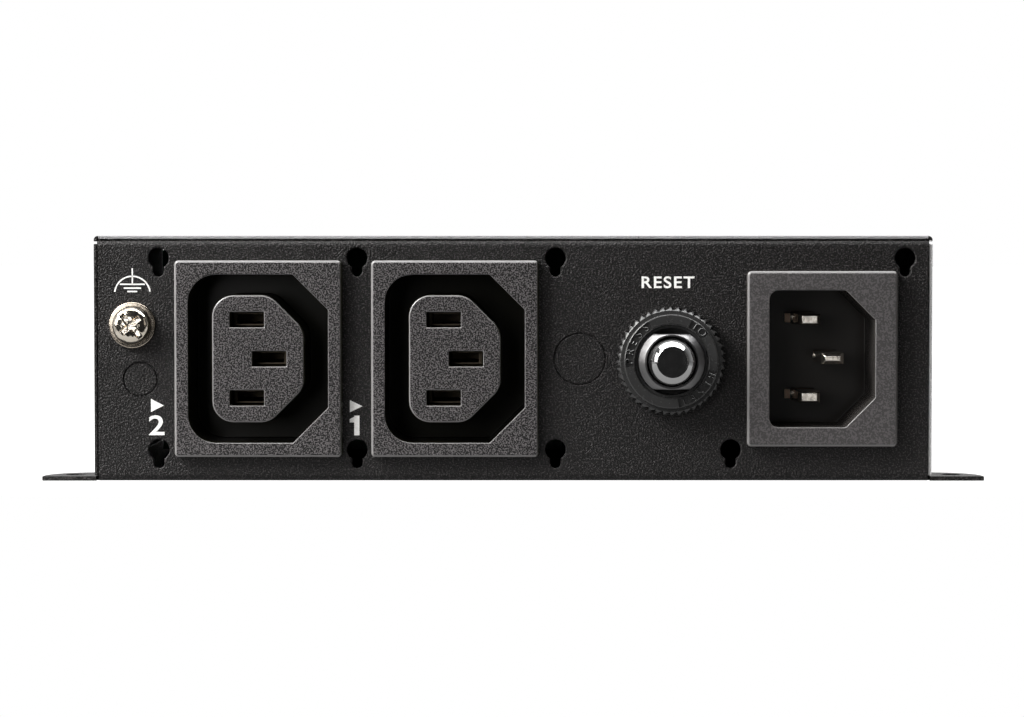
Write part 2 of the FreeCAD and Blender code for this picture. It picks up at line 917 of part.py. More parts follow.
def board_post_places():
    places = []
    for x in (board_post_in - board_edge_x, board_edge_x - board_post_in):
        for y in (main_board_front + board_post_in, main_board_back - board_post_in):
            places.append((x, y))
    return places


def board_posts():
    """Hexagonal posts that stand on the floor, each with a square pin through the main board."""
    posts = []
    for x, y in board_post_places():
        pillar = prism(hexagon(x, y, board_post_flats), lying(tray_sheet), V(0, 0, board_post_height))
        tip = board_top + board_post_past - board_low
        pin = prism(rectangle(x, y, board_post_pin, board_post_pin), lying(board_low), V(0, 0, tip))
        posts.append(pillar.fuse(pin).removeSplitter())
    return posts


def main_board():
    """Horizontal board with the supply, the controller and the network jacks."""
    board_x = (-board_edge_x, board_edge_x)
    board = box(board_x, (main_board_front, main_board_back), (board_low, board_top))
    hole = board_post_pin + 2 * board_hole_fit
    tools = []
    for x, y in board_post_places():
        tools.append(prism(rectangle(x, y, hole, hole), lying(board_low), V(0, 0, board_thickness)))
    return board.cut(tools)


def on_main_board(x, y, width, length, height):
    """Block standing on the main board."""
    return prism(rectangle(x, y, width, length), lying(board_top), V(0, 0, height))


def power_supply():
    y = main_board_front + header_depth + supply_front_gap + supply_length / 2
    return on_main_board(supply_x, y, supply_width, supply_length, supply_height)


def bulk_capacitor():
    x = supply_x + supply_width / 2 + capacitor_gap + capacitor_diameter / 2
    y = main_board_middle - capacitor_forward
    return post(x, y, capacitor_diameter, board_top, board_top + capacitor_height)


def processor():
    x = link_jack_x + processor_across
    y = main_board_middle - processor_forward
    return on_main_board(x, y, processor_size, processor_size, processor_height)


def ribbon_heights():
    """Heights of the ribbon's lower face at the outlet board and at the main board."""
    low = outlet_board_low + header_height / 2 - ribbon_thickness / 2
    high = board_top + header_height / 2 - ribbon_thickness / 2
    return low, high


def ribbon_headers():
    """Connector on each board that the ribbon plugs into."""
    x_span = (outlet_middle_x - header_width / 2, outlet_middle_x + header_width / 2)
    outlet_span = (outlet_board_back, outlet_board_back + header_depth)
    outlet_end = box(x_span, outlet_span, (outlet_board_low, outlet_board_low + header_height))
    main_span = (main_board_front, main_board_front + header_depth)
    main_end = box(x_span, main_span, (board_top, board_top + header_height))
    return [outlet_end, main_end]


def board_ribbon():
    """Flat cable stepping up from the outlet board to the main board."""
    low, high = ribbon_heights()
    near = outlet_board_back + header_depth
    far = main_board_front
    first = near + (far - near) / 3
    second = far - (far - near) / 3
    corners = [
        (near, low, 0),
        (first, low, ribbon_bend),
        (second, high, ribbon_bend),
        (far, high, 0),
        (far, high + ribbon_thickness, 0),
        (second, high + ribbon_thickness, ribbon_bend),
        (first, low + ribbon_thickness, ribbon_bend),
        (near, low + ribbon_thickness, 0),
    ]
    return prism(corners, side_on(outlet_middle_x - ribbon_width / 2), V(ribbon_width, 0, 0))


def jack_housing(x):
    """Modular jack at the network panel: stepped mouth with a keyway for the latch."""
    z = board_top + jack_height / 2
    face = rear + jack_proud
    inner = face - jack_mouth_depth
    body = front_prism(rectangle(x, z, jack_width, jack_height), face - jack_depth, face)
    mouth_z = board_top + jack_mouth_low + jack_mouth_height / 2
    mouth = front_prism(rectangle(x, mouth_z, jack_mouth_width, jack_mouth_height), inner, face)
    key_z = board_top + jack_mouth_low - jack_key_height / 2
    key = front_prism(rectangle(x, key_z, jack_key_width, jack_key_height), inner, face)
    return body.cut([mouth, key])


def jack_contacts(x):
    """Row of sprung wires slanting from the back of a jack's mouth towards its roof."""
    inner = rear + jack_proud - jack_mouth_depth
    roof = board_top + jack_mouth_low + jack_mouth_height
    wires = []
    for index in range(jack_pins):
        left = x + (index - (jack_pins - 1) / 2) * jack_pin_pitch - jack_pin_width / 2
        corners = [
            (inner, roof - jack_pin_drop, 0),
            (inner, roof - jack_pin_drop - jack_pin_width, 0),
            (inner + jack_mouth_depth / 2, roof - jack_pin_width, 0),
            (inner + jack_mouth_depth / 2, roof, 0),
        ]
        wires.append(prism(corners, side_on(left), V(jack_pin_width, 0, 0)))
    return wires


def lamp_places():
    first = sensor_jack_x - lamp_first_out
    return [first - index * lamp_pitch for index in range(lamp_count)]


def status_lamps():
    """Right-angle indicator lamps whose lenses come through the network panel."""
    lamps = []
    far = rear + lamp_proud
    back = rear - tray_sheet - lamp_block_in
    for x in lamp_places():
        lens = front_prism(rectangle(x, lamp_z, lamp_width, lamp_height), back, far)
        x_span = (x - lamp_block / 2, x + lamp_block / 2)
        block = box(x_span, (back - lamp_block, back), (board_top, lamp_z + lamp_block / 2))
        lamps.append(lens.fuse(block).removeSplitter())
    return lamps


# Flat links between the terminals

def flat_link(points, tab_z):
    """Strip of copper lying on the terminals at one height, along square-cornered runs."""
    half = tab_width / 2
    low = tab_z + tab_thickness / 2
    runs = []
    for (x, y), (next_x, next_y) in zip(points, points[1:]):
        x_span = (min(x, next_x) - half, max(x, next_x) + half)
        y_span = (min(y, next_y), max(y, next_y))
        if y == next_y:
            y_span = (y - half, y + half)
        runs.append(box(x_span, y_span, (low, low + link_thickness)))
    return runs[0].fuse(runs[1:]).removeSplitter()


def line_link():
    """From the inlet's line pin to the breaker."""
    x = inlet_x + poles["line"][0]
    points = [(x, inlet_back + link_gap), (x, short_link_y), (breaker_x, short_link_y)]
    return flat_link(points, upper_pole_z)


def load_link():
    """From the breaker to the outlet board."""
    points = [
        (breaker_x, short_link_y),
        (feed_right_x, short_link_y),
        (feed_right_x, outlet_board_back + link_gap),
    ]
    return flat_link(points, lower_pole_z)


def neutral_link():
    """From the inlet's neutral pin to the outlet board, round behind the load link."""
    x = inlet_x + poles["neutral"][0]
    points = [
        (x, inlet_back + link_gap),
        (x, long_link_y),
        (feed_left_x, long_link_y),
        (feed_left_x, outlet_board_back + link_gap),
    ]
    return flat_link(points, lower_pole_z)


def earth_link():
    """From the inlet's earth pin to the outlet board."""
    x = inlet_x + poles["earth"][0]
    points = [
        (x, inlet_back + link_gap),
        (x, long_link_y),
        (feed_right_x, long_link_y),
        (feed_right_x, outlet_board_back + link_gap),
    ]
    return flat_link(points, socket_z)


def build():
    """Every piece by the name of its node; a list is a group of like pieces."""
    nodes = {
        "base_tray": base_tray(),
        "top_cover": top_cover(),
        "cover_screws": cover_screws(),
        "small_stud": small_stud(),
        "large_stud": large_stud(),
    }
    for name, x in outlets.items():
        nodes[name + "_housing"] = outlet_housing(x)
        for pole, (across, up) in poles.items():
            side = 1 if pole == "earth" else -1
            nodes[name + "_" + pole + "_contact"] = spring_contact(x + across, socket_z + up, side)
    nodes["inlet_housing"] = inlet_housing()
    for pole in poles:
        nodes["inlet_" + pole + "_pin"] = inlet_pin(pole)
    nodes["breaker_body"] = breaker_body()
    nodes["breaker_bushing"] = breaker_bushing()
    nodes["breaker_nut"] = breaker_nut()
    nodes["reset_button"] = reset_button()
    nodes["breaker_line_tab"] = breaker_tab(upper_pole_z)
    nodes["breaker_load_tab"] = breaker_tab(lower_pole_z)
    nodes["earth_washer"] = earth_washer()
    nodes["earth_screw"] = earth_screw()
    nodes["earth_nut"] = earth_nut()
    nodes["earth_strap"] = earth_strap()
    nodes["strap_nut"] = strap_nut()
    nodes["outlet_board"] = outlet_board()
    nodes["relay_1"] = relay(1)
    nodes["relay_2"] = relay(-1)
    nodes["current_sensor_1"] = current_sensor(0)
    nodes["current_sensor_2"] = current_sensor(1)
    nodes["feed_tabs"] = feed_tabs()
    nodes["main_board"] = main_board()
    nodes["board_posts"] = board_posts()
    nodes["power_supply"] = power_supply()
    nodes["bulk_capacitor"] = bulk_capacitor()
    nodes["processor"] = processor()
    nodes["ribbon_headers"] = ribbon_headers()
    nodes["board_ribbon"] = board_ribbon()
    for name, x in jacks.items():
        nodes[name] = jack_housing(x)
        nodes[name + "_contacts"] = jack_contacts(x)
    nodes["status_lamps"] = status_lamps()
    nodes["line_link"] = line_link()
    nodes["load_link"] = load_link()
    nodes["neutral_link"] = neutral_link()
    nodes["earth_link"] = earth_link()
    return nodes


def main():
    os.makedirs("parts", exist_ok=True)
    for name, shape in build().items():
        if isinstance(shape, list):
            shape = Part.makeCompound(shape)
        shape.exportStep("parts/" + name + ".step")


if __name__ == "__main__":
    main()
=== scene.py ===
import math

import bpy
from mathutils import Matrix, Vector


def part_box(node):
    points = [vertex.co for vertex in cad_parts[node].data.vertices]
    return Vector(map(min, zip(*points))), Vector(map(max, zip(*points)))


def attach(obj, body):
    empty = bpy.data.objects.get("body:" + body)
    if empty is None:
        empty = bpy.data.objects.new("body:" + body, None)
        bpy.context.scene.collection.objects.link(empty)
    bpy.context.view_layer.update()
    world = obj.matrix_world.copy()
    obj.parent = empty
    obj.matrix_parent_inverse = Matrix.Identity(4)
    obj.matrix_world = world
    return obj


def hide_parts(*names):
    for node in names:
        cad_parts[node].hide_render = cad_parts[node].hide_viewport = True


# Looks of a two-outlet switched power distribution unit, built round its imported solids.
# Pieces are modelled in millimetres and brought to metres when they are finished.

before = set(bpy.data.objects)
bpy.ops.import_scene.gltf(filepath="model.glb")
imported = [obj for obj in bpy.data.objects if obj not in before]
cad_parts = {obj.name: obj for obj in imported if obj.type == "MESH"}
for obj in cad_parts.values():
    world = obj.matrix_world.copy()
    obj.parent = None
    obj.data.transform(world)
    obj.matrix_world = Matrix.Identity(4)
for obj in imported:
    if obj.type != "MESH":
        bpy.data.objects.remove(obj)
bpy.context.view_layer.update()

MM = 0.001

# Rounding of edges, in millimetres
tray_edge = 0.15
cover_edge = 0.15
moulded_edge = 0.2
metal_edge = 0.12
jack_edge = 0.2
lamp_edge = 0.45
edge_angle = math.radians(32)
smooth_angle = math.radians(34)

# How finely round things are divided
round_steps = 96
small_round_steps = 48
corner_steps = 8
rim_steps = 4

# Allowances for merging and cutting, in millimetres, and the angle up to which faces count as flat
meet_distance = 0.0005
near_enough = 0.001
sliver_width = 0.003
cutter_grow = 0.02
overlap = 1.0
flat_angle = math.radians(0.5)

# Paint on the cover's cut edges and corners
paint_skin = 0.06
corner_paint = 0.85

# Outlets
flange_corner = 0.8
flange_edge = 0.36
recess_width = 25.0
recess_height = 30.1
recess_corner = 5.0
recess_chamfer = 6.3
recess_depth = 16.5
nose_width = 16.6
nose_height = 22.9
nose_corner = 3.9
nose_chamfer = 6.2
nose_blend = 3.6
chamfer_half_turn = math.radians(22.5)
nose_setback = 0.2
nose_edge = 0.4
spark_depth = 0.3
spark_fade = 0.1
slot_width = 6.1
slot_height = 2.75
pole_pitch = 14.0
earth_offset = 4.0
outlet_wall = 1.2
latch_width = 6.0
latch_length = 5.0
latch_height = 0.9
latch_gap = 0.1
tray_sheet = 0.8

# Inlet
cavity_width = 18.9
cavity_height = 24.5
cavity_depth = 16.6
cavity_corner = 1.7
cavity_chamfer = 5.3
inlet_wall = 1.6
pin_width = 4.0
pin_thickness = 2.0
pin_point_length = 0.9
pin_end_width = 2.7
pin_end_heights = {"line": 1.35, "neutral": 1.35, "earth": 0.7}
pin_inset = 0.3
pin_edge = 0.08
pin_edge_steps = 3
pin_tab_thickness = 0.8
pin_root_width = 1.1
pin_root_height = 1.7
pin_root_gap = 0.3
pin_root_proud = 0.25

# Reset breaker
nut_edge = 0.05
nut_teeth = 44
nut_tooth_depth = 0.75
nut_tooth_lean = 0.3
nut_tooth_slope = 0.75
nut_skirt = 3.4
nut_face_diameter = 16.9
nut_face_edge = 0.35
nut_mouth_diameter = 13.0
nut_mouth_depth = 1.0
nut_bore = 12.0
nut_word_size = 2.0
nut_word_weight = 0.01
nut_word_edge = 0.09
nut_word_radius = 7.5
nut_words = (("PRESS", 180, 13.1), ("TO", 56, 12.0), ("RESET", -20, 13.1))
nut_window_depth = 0.35
nut_window_rim = 0.25
nut_window_margin = 7.5
neck_diameter = 11.8
neck_flats = 9.9
neck_lip = 0.1
neck_slope = 1.2
neck_mouth_diameter = 9.4
neck_mouth_depth = 0.9
neck_hole = 8.9
button_face_diameter = 5.5
button_rim_width = 0.95
button_rim_start = 42
button_rim_end = 48
button_edge = 0.08
button_cap_depth = 2.0

# Earth point
earth_thread = 3.9
earth_dome_steps = 18
earth_dome_power = 0.78
earth_slot_width = 1.0
earth_slot_depth = 0.8
earth_cross_length = 4.2
earth_cross_width = 1.0
earth_cross_depth = 1.3
earth_slot_turn = math.radians(50)
washer_edge = 0.25
washer_fit = 0.1

# Bend reliefs at the cover's corners
relief_width = 0.9
relief_depth = 1.2
relief_drop = 1.0
relief_height = 0.4

# Keyholes in the socket panel
keyhole_reach = 18.0
keyhole_top_z = 40.0
keyhole_bottom_z = 5.6
inlet_keyhole_left = 16.2
edge_keyhole_x = 70.3
keyhole_diameter = 3.6
keyhole_slot = 1.8
keyhole_drop = 2.36
keyhole_edge = 0.3

# Flush stud heads and the grooves round them
stud_edge = 0.15
stud_spread = 0.17
stud_groove_width = 0.3
stud_groove_depth = 0.24
stud_groove_slope = 0.2

# Cover screws
screw_cross_length = 3.0
screw_cross_width = 0.75
screw_cross_depth = 0.9

# Print on the socket panel; boxes are left, right, low and high
print_height = 0.03
print_weight = 0.05
arrow_edge = 0.004
number_size = 4.0
word_size = 3.0
word_weight = 0.054
word_spacing = 1.15
word_box = (23.03, 32.52, 34.61, 36.75)
two_box = (-65.43, -62.60, 8.22, 11.80)
one_box = (-29.36, -27.60, 8.19, 11.74)
one_stem = 0.95
one_flag = 1.25
arrow_boxes = ((-65.03, -62.70, 12.39, 14.74), (-29.31, -27.05, 12.35, 14.52))
earth_mark_x = -68.29
earth_mark_line = 0.26
earth_mark_stem = (35.35, 38.19)
earth_mark_radius = 3.30
earth_mark_top = 36.89
earth_mark_ends = 34.0
earth_mark_bar = 0.27
earth_mark_bars = ((4.45, 35.32), (3.10, 34.63), (1.75, 34.02))

# Finishes: grains to the metre, the range of their height, depths of bumps in metres, and colours
paint_grains = 3200.0
metal_grains = 1400.0
grain_low = 0.3
grain_high = 0.7
paint_bump = 0.00025
plain_bump = 0.00001
print_bump = 0.00002
paint_dark = (0.0016, 0.0014, 0.0013)
paint_light = (0.0030, 0.0027, 0.0026)
paint_specks = (0.036, 0.032, 0.0328)
bare_left = (0.27, 0.27, 0.28)
# Painted highlight: the bare cut edge at the cover's right end gets a much lighter grey than elsewhere, in
# place of light from behind on the right.
bare_right_painted_highlight = (0.62, 0.62, 0.62)
# Painted highlight: a light grey for the rounded front edges of the mouldings that face left, up or down,
# in place of the light that falls on them.
painted_edge_highlight = (0.180, 0.175, 0.175)
metal_shade = 0.88

# Floor, in metres: its width, its reach in front of the origin, and the part of it that surfaces mirror
floor_width = 6.0
floor_front = 0.085
floor_glow = 0.12
floor_glow_fade = 0.04

# Soft boxes: place and size in metres, how far to the right they aim, power in watts and colour
soft_boxes = {
    "key": ((-0.45, -0.30, 0.40), (0.30, 0.30), 0.0, 7.0, (1.0, 0.99, 0.97)),
    "top": ((0.05, -0.10, 0.50), (0.90, 0.14), 0.05, 4.4, (1.0, 1.0, 1.0)),
    "left": ((-0.60, -0.17, 0.20), (0.14, 0.36), 0.0, 1.8, (1.0, 0.98, 0.97)),
    "sheen": ((-0.28, -0.68, 0.15), (0.34, 0.32), 0.0, 1.0, (1.0, 0.98, 0.97)),
    "right": ((0.65, -0.45, 0.20), (0.20, 0.40), 0.0, 0.15, (1.0, 0.92, 0.84)),
    "glint": ((0.116, -0.62, 0.0), (0.05, 0.07), 0.0, 0.016, (1.0, 1.0, 1.0)),
    "crest": ((0.22, 0.25, 0.45), (0.90, 0.20), 0.22, 3.6, (1.0, 1.0, 1.0)),
}

# Camera, in metres, with its lens in millimetres
camera_place = (0.0, -0.6025, 0.042)
camera_aim_x = -0.0002
aim_height = 0.022
camera_lens = 107.8
camera_sensor = 36.0
camera_near = 0.01


# Places in the frame, in millimetres

def node_box(node):
    low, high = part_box(node)
    return low / MM, high / MM


def node_middle(node):
    low, high = node_box(node)
    return (low + high) / 2


def node_radius(node):
    low, high = node_box(node)
    return (high.x - low.x) / 2


front = node_box("base_tray")[0].y
past_panel = front + tray_sheet + overlap
cover_low, cover_high = node_box("top_cover")
socket_z = node_middle("outlet_1_housing").z
outlet_1_x = node_middle("outlet_1_housing").x
outlet_2_x = node_middle("outlet_2_housing").x
keyhole_columns = (outlet_2_x - keyhole_reach, (outlet_1_x + outlet_2_x) / 2, outlet_1_x + keyhole_reach)
keyholes = [(x, z) for x in keyhole_columns for z in (keyhole_top_z, keyhole_bottom_z)]
keyholes.append((node_middle("inlet_housing").x - inlet_keyhole_left, keyhole_bottom_z))
keyholes.append((edge_keyhole_x, keyhole_top_z))
poles = {
    "line": (-earth_offset / 2, pole_pitch / 2),
    "neutral": (-earth_offset / 2, -pole_pitch / 2),
    "earth": (earth_offset / 2, 0.0),
}


# Modelling steps

def pick(piece):
    """Make a piece the only one selected, and active."""
    bpy.ops.object.select_all(action="DESELECT")
    piece.select_set(True)
    bpy.context.view_layer.objects.active = piece


def set_place(piece):
    """Put a piece's place, turn and size into its mesh."""
    pick(piece)
    bpy.ops.object.transform_apply(location=True, rotation=True, scale=True)


def settle(name):
    """Name the new primitive and fix its place."""
    piece = bpy.context.active_object
    piece.name = name
    piece.data.name = name
    set_place(piece)
    return piece


def block(name, low, high):
    """Box between two corners."""
    low = Vector(low)
    high = Vector(high)
    bpy.ops.mesh.primitive_cube_add(size=1, location=(low + high) / 2, scale=high - low)
    return settle(name)


def panel_block(name, x, z, width, height, near, far):
    """Box centred on a place of the socket panel, between two depths."""
    low = (x - width / 2, near, z - height / 2)
    return block(name, low, (x + width / 2, far, z + height / 2))


def rod(name, x, z, diameter, near, far, steps=round_steps):
    """Cylinder along the depth."""
    bpy.ops.mesh.primitive_cylinder_add(
        vertices=steps,
        radius=diameter / 2,
        depth=far - near,
        location=(x, (near + far) / 2, z),
        rotation=(math.pi / 2, 0, 0),
    )
    return settle(name)


def choose(piece, kind, test):
    """Enter edit mode with only the vertices, edges or faces that pass a test selected."""
    pick(piece)
    bpy.ops.object.mode_set(mode="EDIT")
    bpy.ops.mesh.select_mode(type=kind)
    bpy.ops.mesh.select_all(action="DESELECT")
    bpy.ops.object.mode_set(mode="OBJECT")
    points = [vertex.co for vertex in piece.data.vertices]
    if kind == "VERT":
        for vertex in piece.data.vertices:
            vertex.select = test(vertex.co)
    elif kind == "EDGE":
        for edge in piece.data.edges:
            edge.select = test(points[edge.vertices[0]], points[edge.vertices[1]])
    else:
        for face in piece.data.polygons:
            face.select = test(face.center, face.normal)
    bpy.ops.object.mode_set(mode="EDIT")


def choose_all(piece):
    choose(piece, "VERT", lambda point: True)


def faces_front(centre, normal):
    """Test for faces that look to the front."""
    return normal.y < -0.5


def leave_edit():
    bpy.ops.object.mode_set(mode="OBJECT")


def move(piece, test, step):
    """Move the points that pass a test."""
    choose(piece, "VERT", test)
    bpy.ops.transform.translate(value=step)
    leave_edit()


def bevel(width, steps):
    bpy.ops.mesh.bevel(offset_type="OFFSET", offset=width, segments=steps, affect="EDGES")


def bevel_edges(piece, test, width, steps):
    choose(piece, "EDGE", test)
    bevel(width, steps)
    leave_edit()


def set_all(thing, **settings):
    for name, value in settings.items():
        setattr(thing, name, value)


def modify(piece, kind, **settings):
    """Give a piece a modifier with its settings, and apply it."""
    modifier = piece.modifiers.new("step", kind)
    set_all(modifier, **settings)
    pick(piece)
    bpy.ops.object.modifier_apply(modifier=modifier.name)


def combine(piece, other, operation):
    """Join, cut or keep the overlap with another solid, which is used up."""
    modify(piece, "BOOLEAN", operation=operation, solver="EXACT", object=other)
    bpy.data.objects.remove(other, do_unlink=True)


def cut(piece, other):
    combine(piece, other, "DIFFERENCE")


def unite(piece, other):
    combine(piece, other, "UNION")


def join(name, pieces):
    """Make one object of several pieces."""
    pick(pieces[0])
    for piece in pieces[1:]:
        piece.select_set(True)
    bpy.ops.object.join()
    pieces[0].name = name
    pieces[0].data.name = name
    return pieces[0]


def make_whole(piece):
    """Merge points that meet, flat faces that adjoin and straight edges in a row."""
    choose_all(piece)
    bpy.ops.mesh.remove_doubles(threshold=meet_distance)
    bpy.ops.mesh.dissolve_limited(angle_limit=flat_angle)
    leave_edit()


def clear_slivers(piece):
    """Take out the faces without width that cuts close to an older wall leave."""
    choose_all(piece)
    bpy.ops.mesh.remove_doubles(threshold=sliver_width)
    bpy.ops.mesh.dissolve_degenerate(threshold=sliver_width)
    leave_edit()


def soften(piece, width, steps=2):
    """Round the sharp edges, once flat faces and straight edges are whole."""
    make_whole(piece)
    limits = {"limit_method": "ANGLE", "angle_limit": edge_angle, "use_clamp_overlap": False}
    modify(piece, "BEVEL", loop_slide=False, width=width, segments=steps, **limits)


def smooth(piece):
    """Smooth shading that keeps flat faces flat."""
    pick(piece)
    bpy.ops.object.shade_smooth_by_angle(angle=smooth_angle)
    modify(piece, "WEIGHTED_NORMAL", keep_sharp=True)


def cut_away(piece, place, outward):
    """Cut a piece along a plane and close it, without what lies beyond the plane."""
    choose_all(piece)
    bpy.ops.mesh.bisect(plane_co=place, plane_no=outward, use_fill=True, clear_outer=True)
    leave_edit()


def weld(piece):
    """Merge points that meet and turn all faces outwards."""
    choose_all(piece)
    bpy.ops.mesh.remove_doubles(threshold=meet_distance)
    bpy.ops.mesh.normals_make_consistent(inside=False)
    leave_edit()


def turned(name, x, z, profile, steps=round_steps):
    """Solid of revolution about an axis along the depth; profile holds (radius, depth) points."""
    radius, depth = profile[0]
    bpy.ops.mesh.primitive_plane_add(size=1, location=(x + radius, depth, z))
    piece = settle(name)
    choose_all(piece)
    bpy.ops.mesh.merge(type="CENTER")
    for (radius, depth), (next_radius, next_depth) in zip(profile, profile[1:]):
        step = (next_radius - radius, next_depth - depth, 0)
        bpy.ops.mesh.extrude_vertices_move(TRANSFORM_OT_translate={"value": step})
    bpy.ops.mesh.select_all(action="SELECT")
    bpy.ops.mesh.spin(steps=steps, angle=2 * math.pi, center=(x, 0, z), axis=(0, 1, 0))
    leave_edit()
    weld(piece)
    return piece


def tube(name, x, z, inner, outer, near, far):
    """Ring between two radii and two depths."""
    return turned(name, x, z, [(inner, near), (outer, near), (outer, far), (inner, far), (inner, near)])


def arc_points(radius, depth, size, start, end, steps=corner_steps):
    """Points of an arc in a turned profile, about a centre at that radius and depth."""
    points = []
    for step in range(steps + 1):
        angle = math.radians(start + (end - start) * step / steps)
        points.append((radius + size * math.cos(angle), depth + size * math.sin(angle)))
    return points


def cad_copy(name, node):
    """Copy of a CAD node's mesh in millimetres, with its flat faces made whole."""
    piece = bpy.data.objects.new(name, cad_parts[node].data.copy())
    bpy.context.scene.collection.objects.link(piece)
    piece.data.name = name
    pick(piece)
    bpy.ops.mesh.customdata_custom_splitnormals_clear()
    piece.scale = (1 / MM, 1 / MM, 1 / MM)
    set_place(piece)
    make_whole(piece)
    return piece


def soft_copy(name, node, width):
    """Copy of a CAD node's mesh with its edges rounded."""
    piece = cad_copy(name, node)
    soften(piece, width)
    return piece


def fit(piece, left, right, low, high):
    """Stretch a piece to a box on the socket panel."""
    points = [vertex.co for vertex in piece.data.vertices]
    lows = [min(point[axis] for point in points) for axis in range(3)]
    highs = [max(point[axis] for point in points) for axis in range(3)]
    across = (right - left) / (highs[0] - lows[0])
    up = (high - low) / (highs[2] - lows[2])
    piece.scale = (across, 1, up)
    piece.location = (left - lows[0] * across, 0, low - lows[2] * up)
    set_place(piece)


def letters(name, text, size, height, weight, spacing=1.0):
    """Raised lettering facing the front, about the origin."""
    bpy.ops.object.text_add(location=(0, 0, 0), rotation=(math.pi / 2, 0, 0))
    curve = bpy.context.active_object.data
    set_all(curve, body=text, size=size, extrude=height / 2, offset=weight)
    set_all(curve, space_character=spacing, align_x="CENTER", align_y="CENTER")
    bpy.ops.object.convert(target="MESH")
    piece = settle(name)
    clear_slivers(piece)
    weld(piece)
    return piece


def coat(piece, material):
    piece.data.materials.clear()
    piece.data.materials.append(material)


def finish(piece, material, slot, *replaced, body="chassis"):
    """Bring a piece to metres, give it its material and let it ride on its body."""
    piece.scale = (MM, MM, MM)
    set_place(piece)
    smooth(piece)
    coat(piece, material)
    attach(piece, body)
    if replaced:
        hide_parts(*replaced)


def soft_piece(name, node, width, material, slot):
    """Finished piece of a CAD node's form with its edges rounded."""
    finish(soft_copy(name, node, width), material, slot, node)


# Materials

def grey(tone):
    return (tone, tone, tone)


class NodeTree:
    """Short ways to build a tree of shader nodes."""

    def __init__(self, tree):
        self.nodes = tree.nodes
        self.links = tree.links

    def feed(self, socket, value):
        """Set a socket to a number or a plain colour, or link it to another socket."""
        if isinstance(value, float):
            socket.default_value = value
        elif isinstance(value, tuple):
            socket.default_value = (*value, 1)
        else:
            self.links.new(value, socket)

    def add(self, kind, values=None):
        """New node of a kind, with its inputs fed."""
        node = self.nodes.new(kind)
        for name, value in (values or {}).items():
            self.feed(node.inputs[name], value)
        return node

    def colours(self, mask, first, second):
        """Mix two colours by a mask."""
        mix = self.add("ShaderNodeMix")
        mix.data_type = "RGBA"
        for name, value in (("Factor", mask), ("A", first), ("B", second)):
            self.feed(mix.inputs[name], value)
        return mix.outputs["Result"]

    def mapped(self, value, start, end, low, high):
        """Stretch a value from one range to another, held at its ends."""
        ranges = {"Value": value, "From Min": start, "From Max": end, "To Min": low, "To Max": high}
        return self.add("ShaderNodeMapRange", ranges).outputs["Result"]

    def place(self, axis, kind="Object"):
        """One part of the place on the piece, in metres, or of a direction."""
        place = self.add("ShaderNodeTexCoord").outputs[kind]
        return self.add("ShaderNodeSeparateXYZ", {"Vector": place}).outputs[axis]

    def calculated(self, operation, first, second):
        node = self.add("ShaderNodeMath", {0: first, 1: second})
        node.operation = operation
        return node.outputs["Value"]


grain_inputs = ("Grains", "Speck Low", "Speck High")
grain_outputs = ("Height", "Specks", "Clouds")


def fine_grain():
    """Shared fine texture: a height for bumps, a mask of lighter specks, and broad clouds."""
    group = bpy.data.node_groups.new("fine_grain", "ShaderNodeTree")
    for way, names in (("INPUT", grain_inputs), ("OUTPUT", grain_outputs)):
        for name in names:
            group.interface.new_socket(name=name, in_out=way, socket_type="NodeSocketFloat")
    tree = NodeTree(group)
    given = tree.add("NodeGroupInput").outputs
    place = tree.add("ShaderNodeTexCoord").outputs["Object"]
    noise = {"Vector": place, "Scale": given["Grains"], "Detail": 1.2, "Roughness": 0.6}
    height = tree.add("ShaderNodeTexNoise", noise).outputs["Fac"]
    ranges = {"Value": height, "From Min": given["Speck Low"], "From Max": given["Speck High"]}
    specks = tree.add("ShaderNodeMapRange", ranges)
    clouds = tree.add("ShaderNodeTexNoise", {"Vector": place, "Scale": 55.0, "Detail": 3.0})
    made = (height, specks.outputs["Result"], clouds.outputs["Fac"])
    tree.add("NodeGroupOutput", dict(zip(grain_outputs, made)))
    return group


grain_group = fine_grain()


class Finish(NodeTree):
    """A material with one Principled shader."""

    def __init__(self, name, roughness=0.5, metallic=0.0):
        self.material = bpy.data.materials.new(name)
        self.material.use_nodes = True
        super().__init__(self.material.node_tree)
        self.shader = self.nodes["Principled BSDF"]
        self.give("Roughness", roughness)
        self.give("Metallic", metallic)

    def give(self, name, value):
        """Feed one of the shader's inputs."""
        self.feed(self.shader.inputs[name], value)

    def base(self, mask, dark, light):
        """Colour between two by a mask."""
        self.give("Base Color", self.colours(mask, dark, light))

    def grain(self, grains, speck_low=0.4, speck_high=0.7):
        """Place the shared texture, with so many grains to the metre."""
        node = self.nodes.new("ShaderNodeGroup")
        node.node_tree = grain_group
        for name, value in zip(grain_inputs, (grains, speck_low, speck_high)):
            node.inputs[name].default_value = value
        self.height, self.specks, self.clouds = (node.outputs[name] for name in grain_outputs)

    def gloss(self, first, second):
        """Roughness from one value to another by the height of the grain."""
        self.give("Roughness", self.mapped(self.height, grain_low, grain_high, first, second))

    def bump(self, height, distance):
        node = self.add("ShaderNodeBump", {"Height": height, "Distance": distance, "Strength": 1.0})
        self.give("Normal", node.outputs["Normal"])


def plain_finish(name, dark, light, roughness, grains=900.0):
    """Even finish with a slight mottle, for pieces of one simple material."""
    look = Finish(name, roughness)
    look.grain(grains)
    look.base(look.clouds, dark, light)
    look.gloss(roughness * 0.8, roughness * 1.2)
    look.bump(look.height, plain_bump)
    return look.material


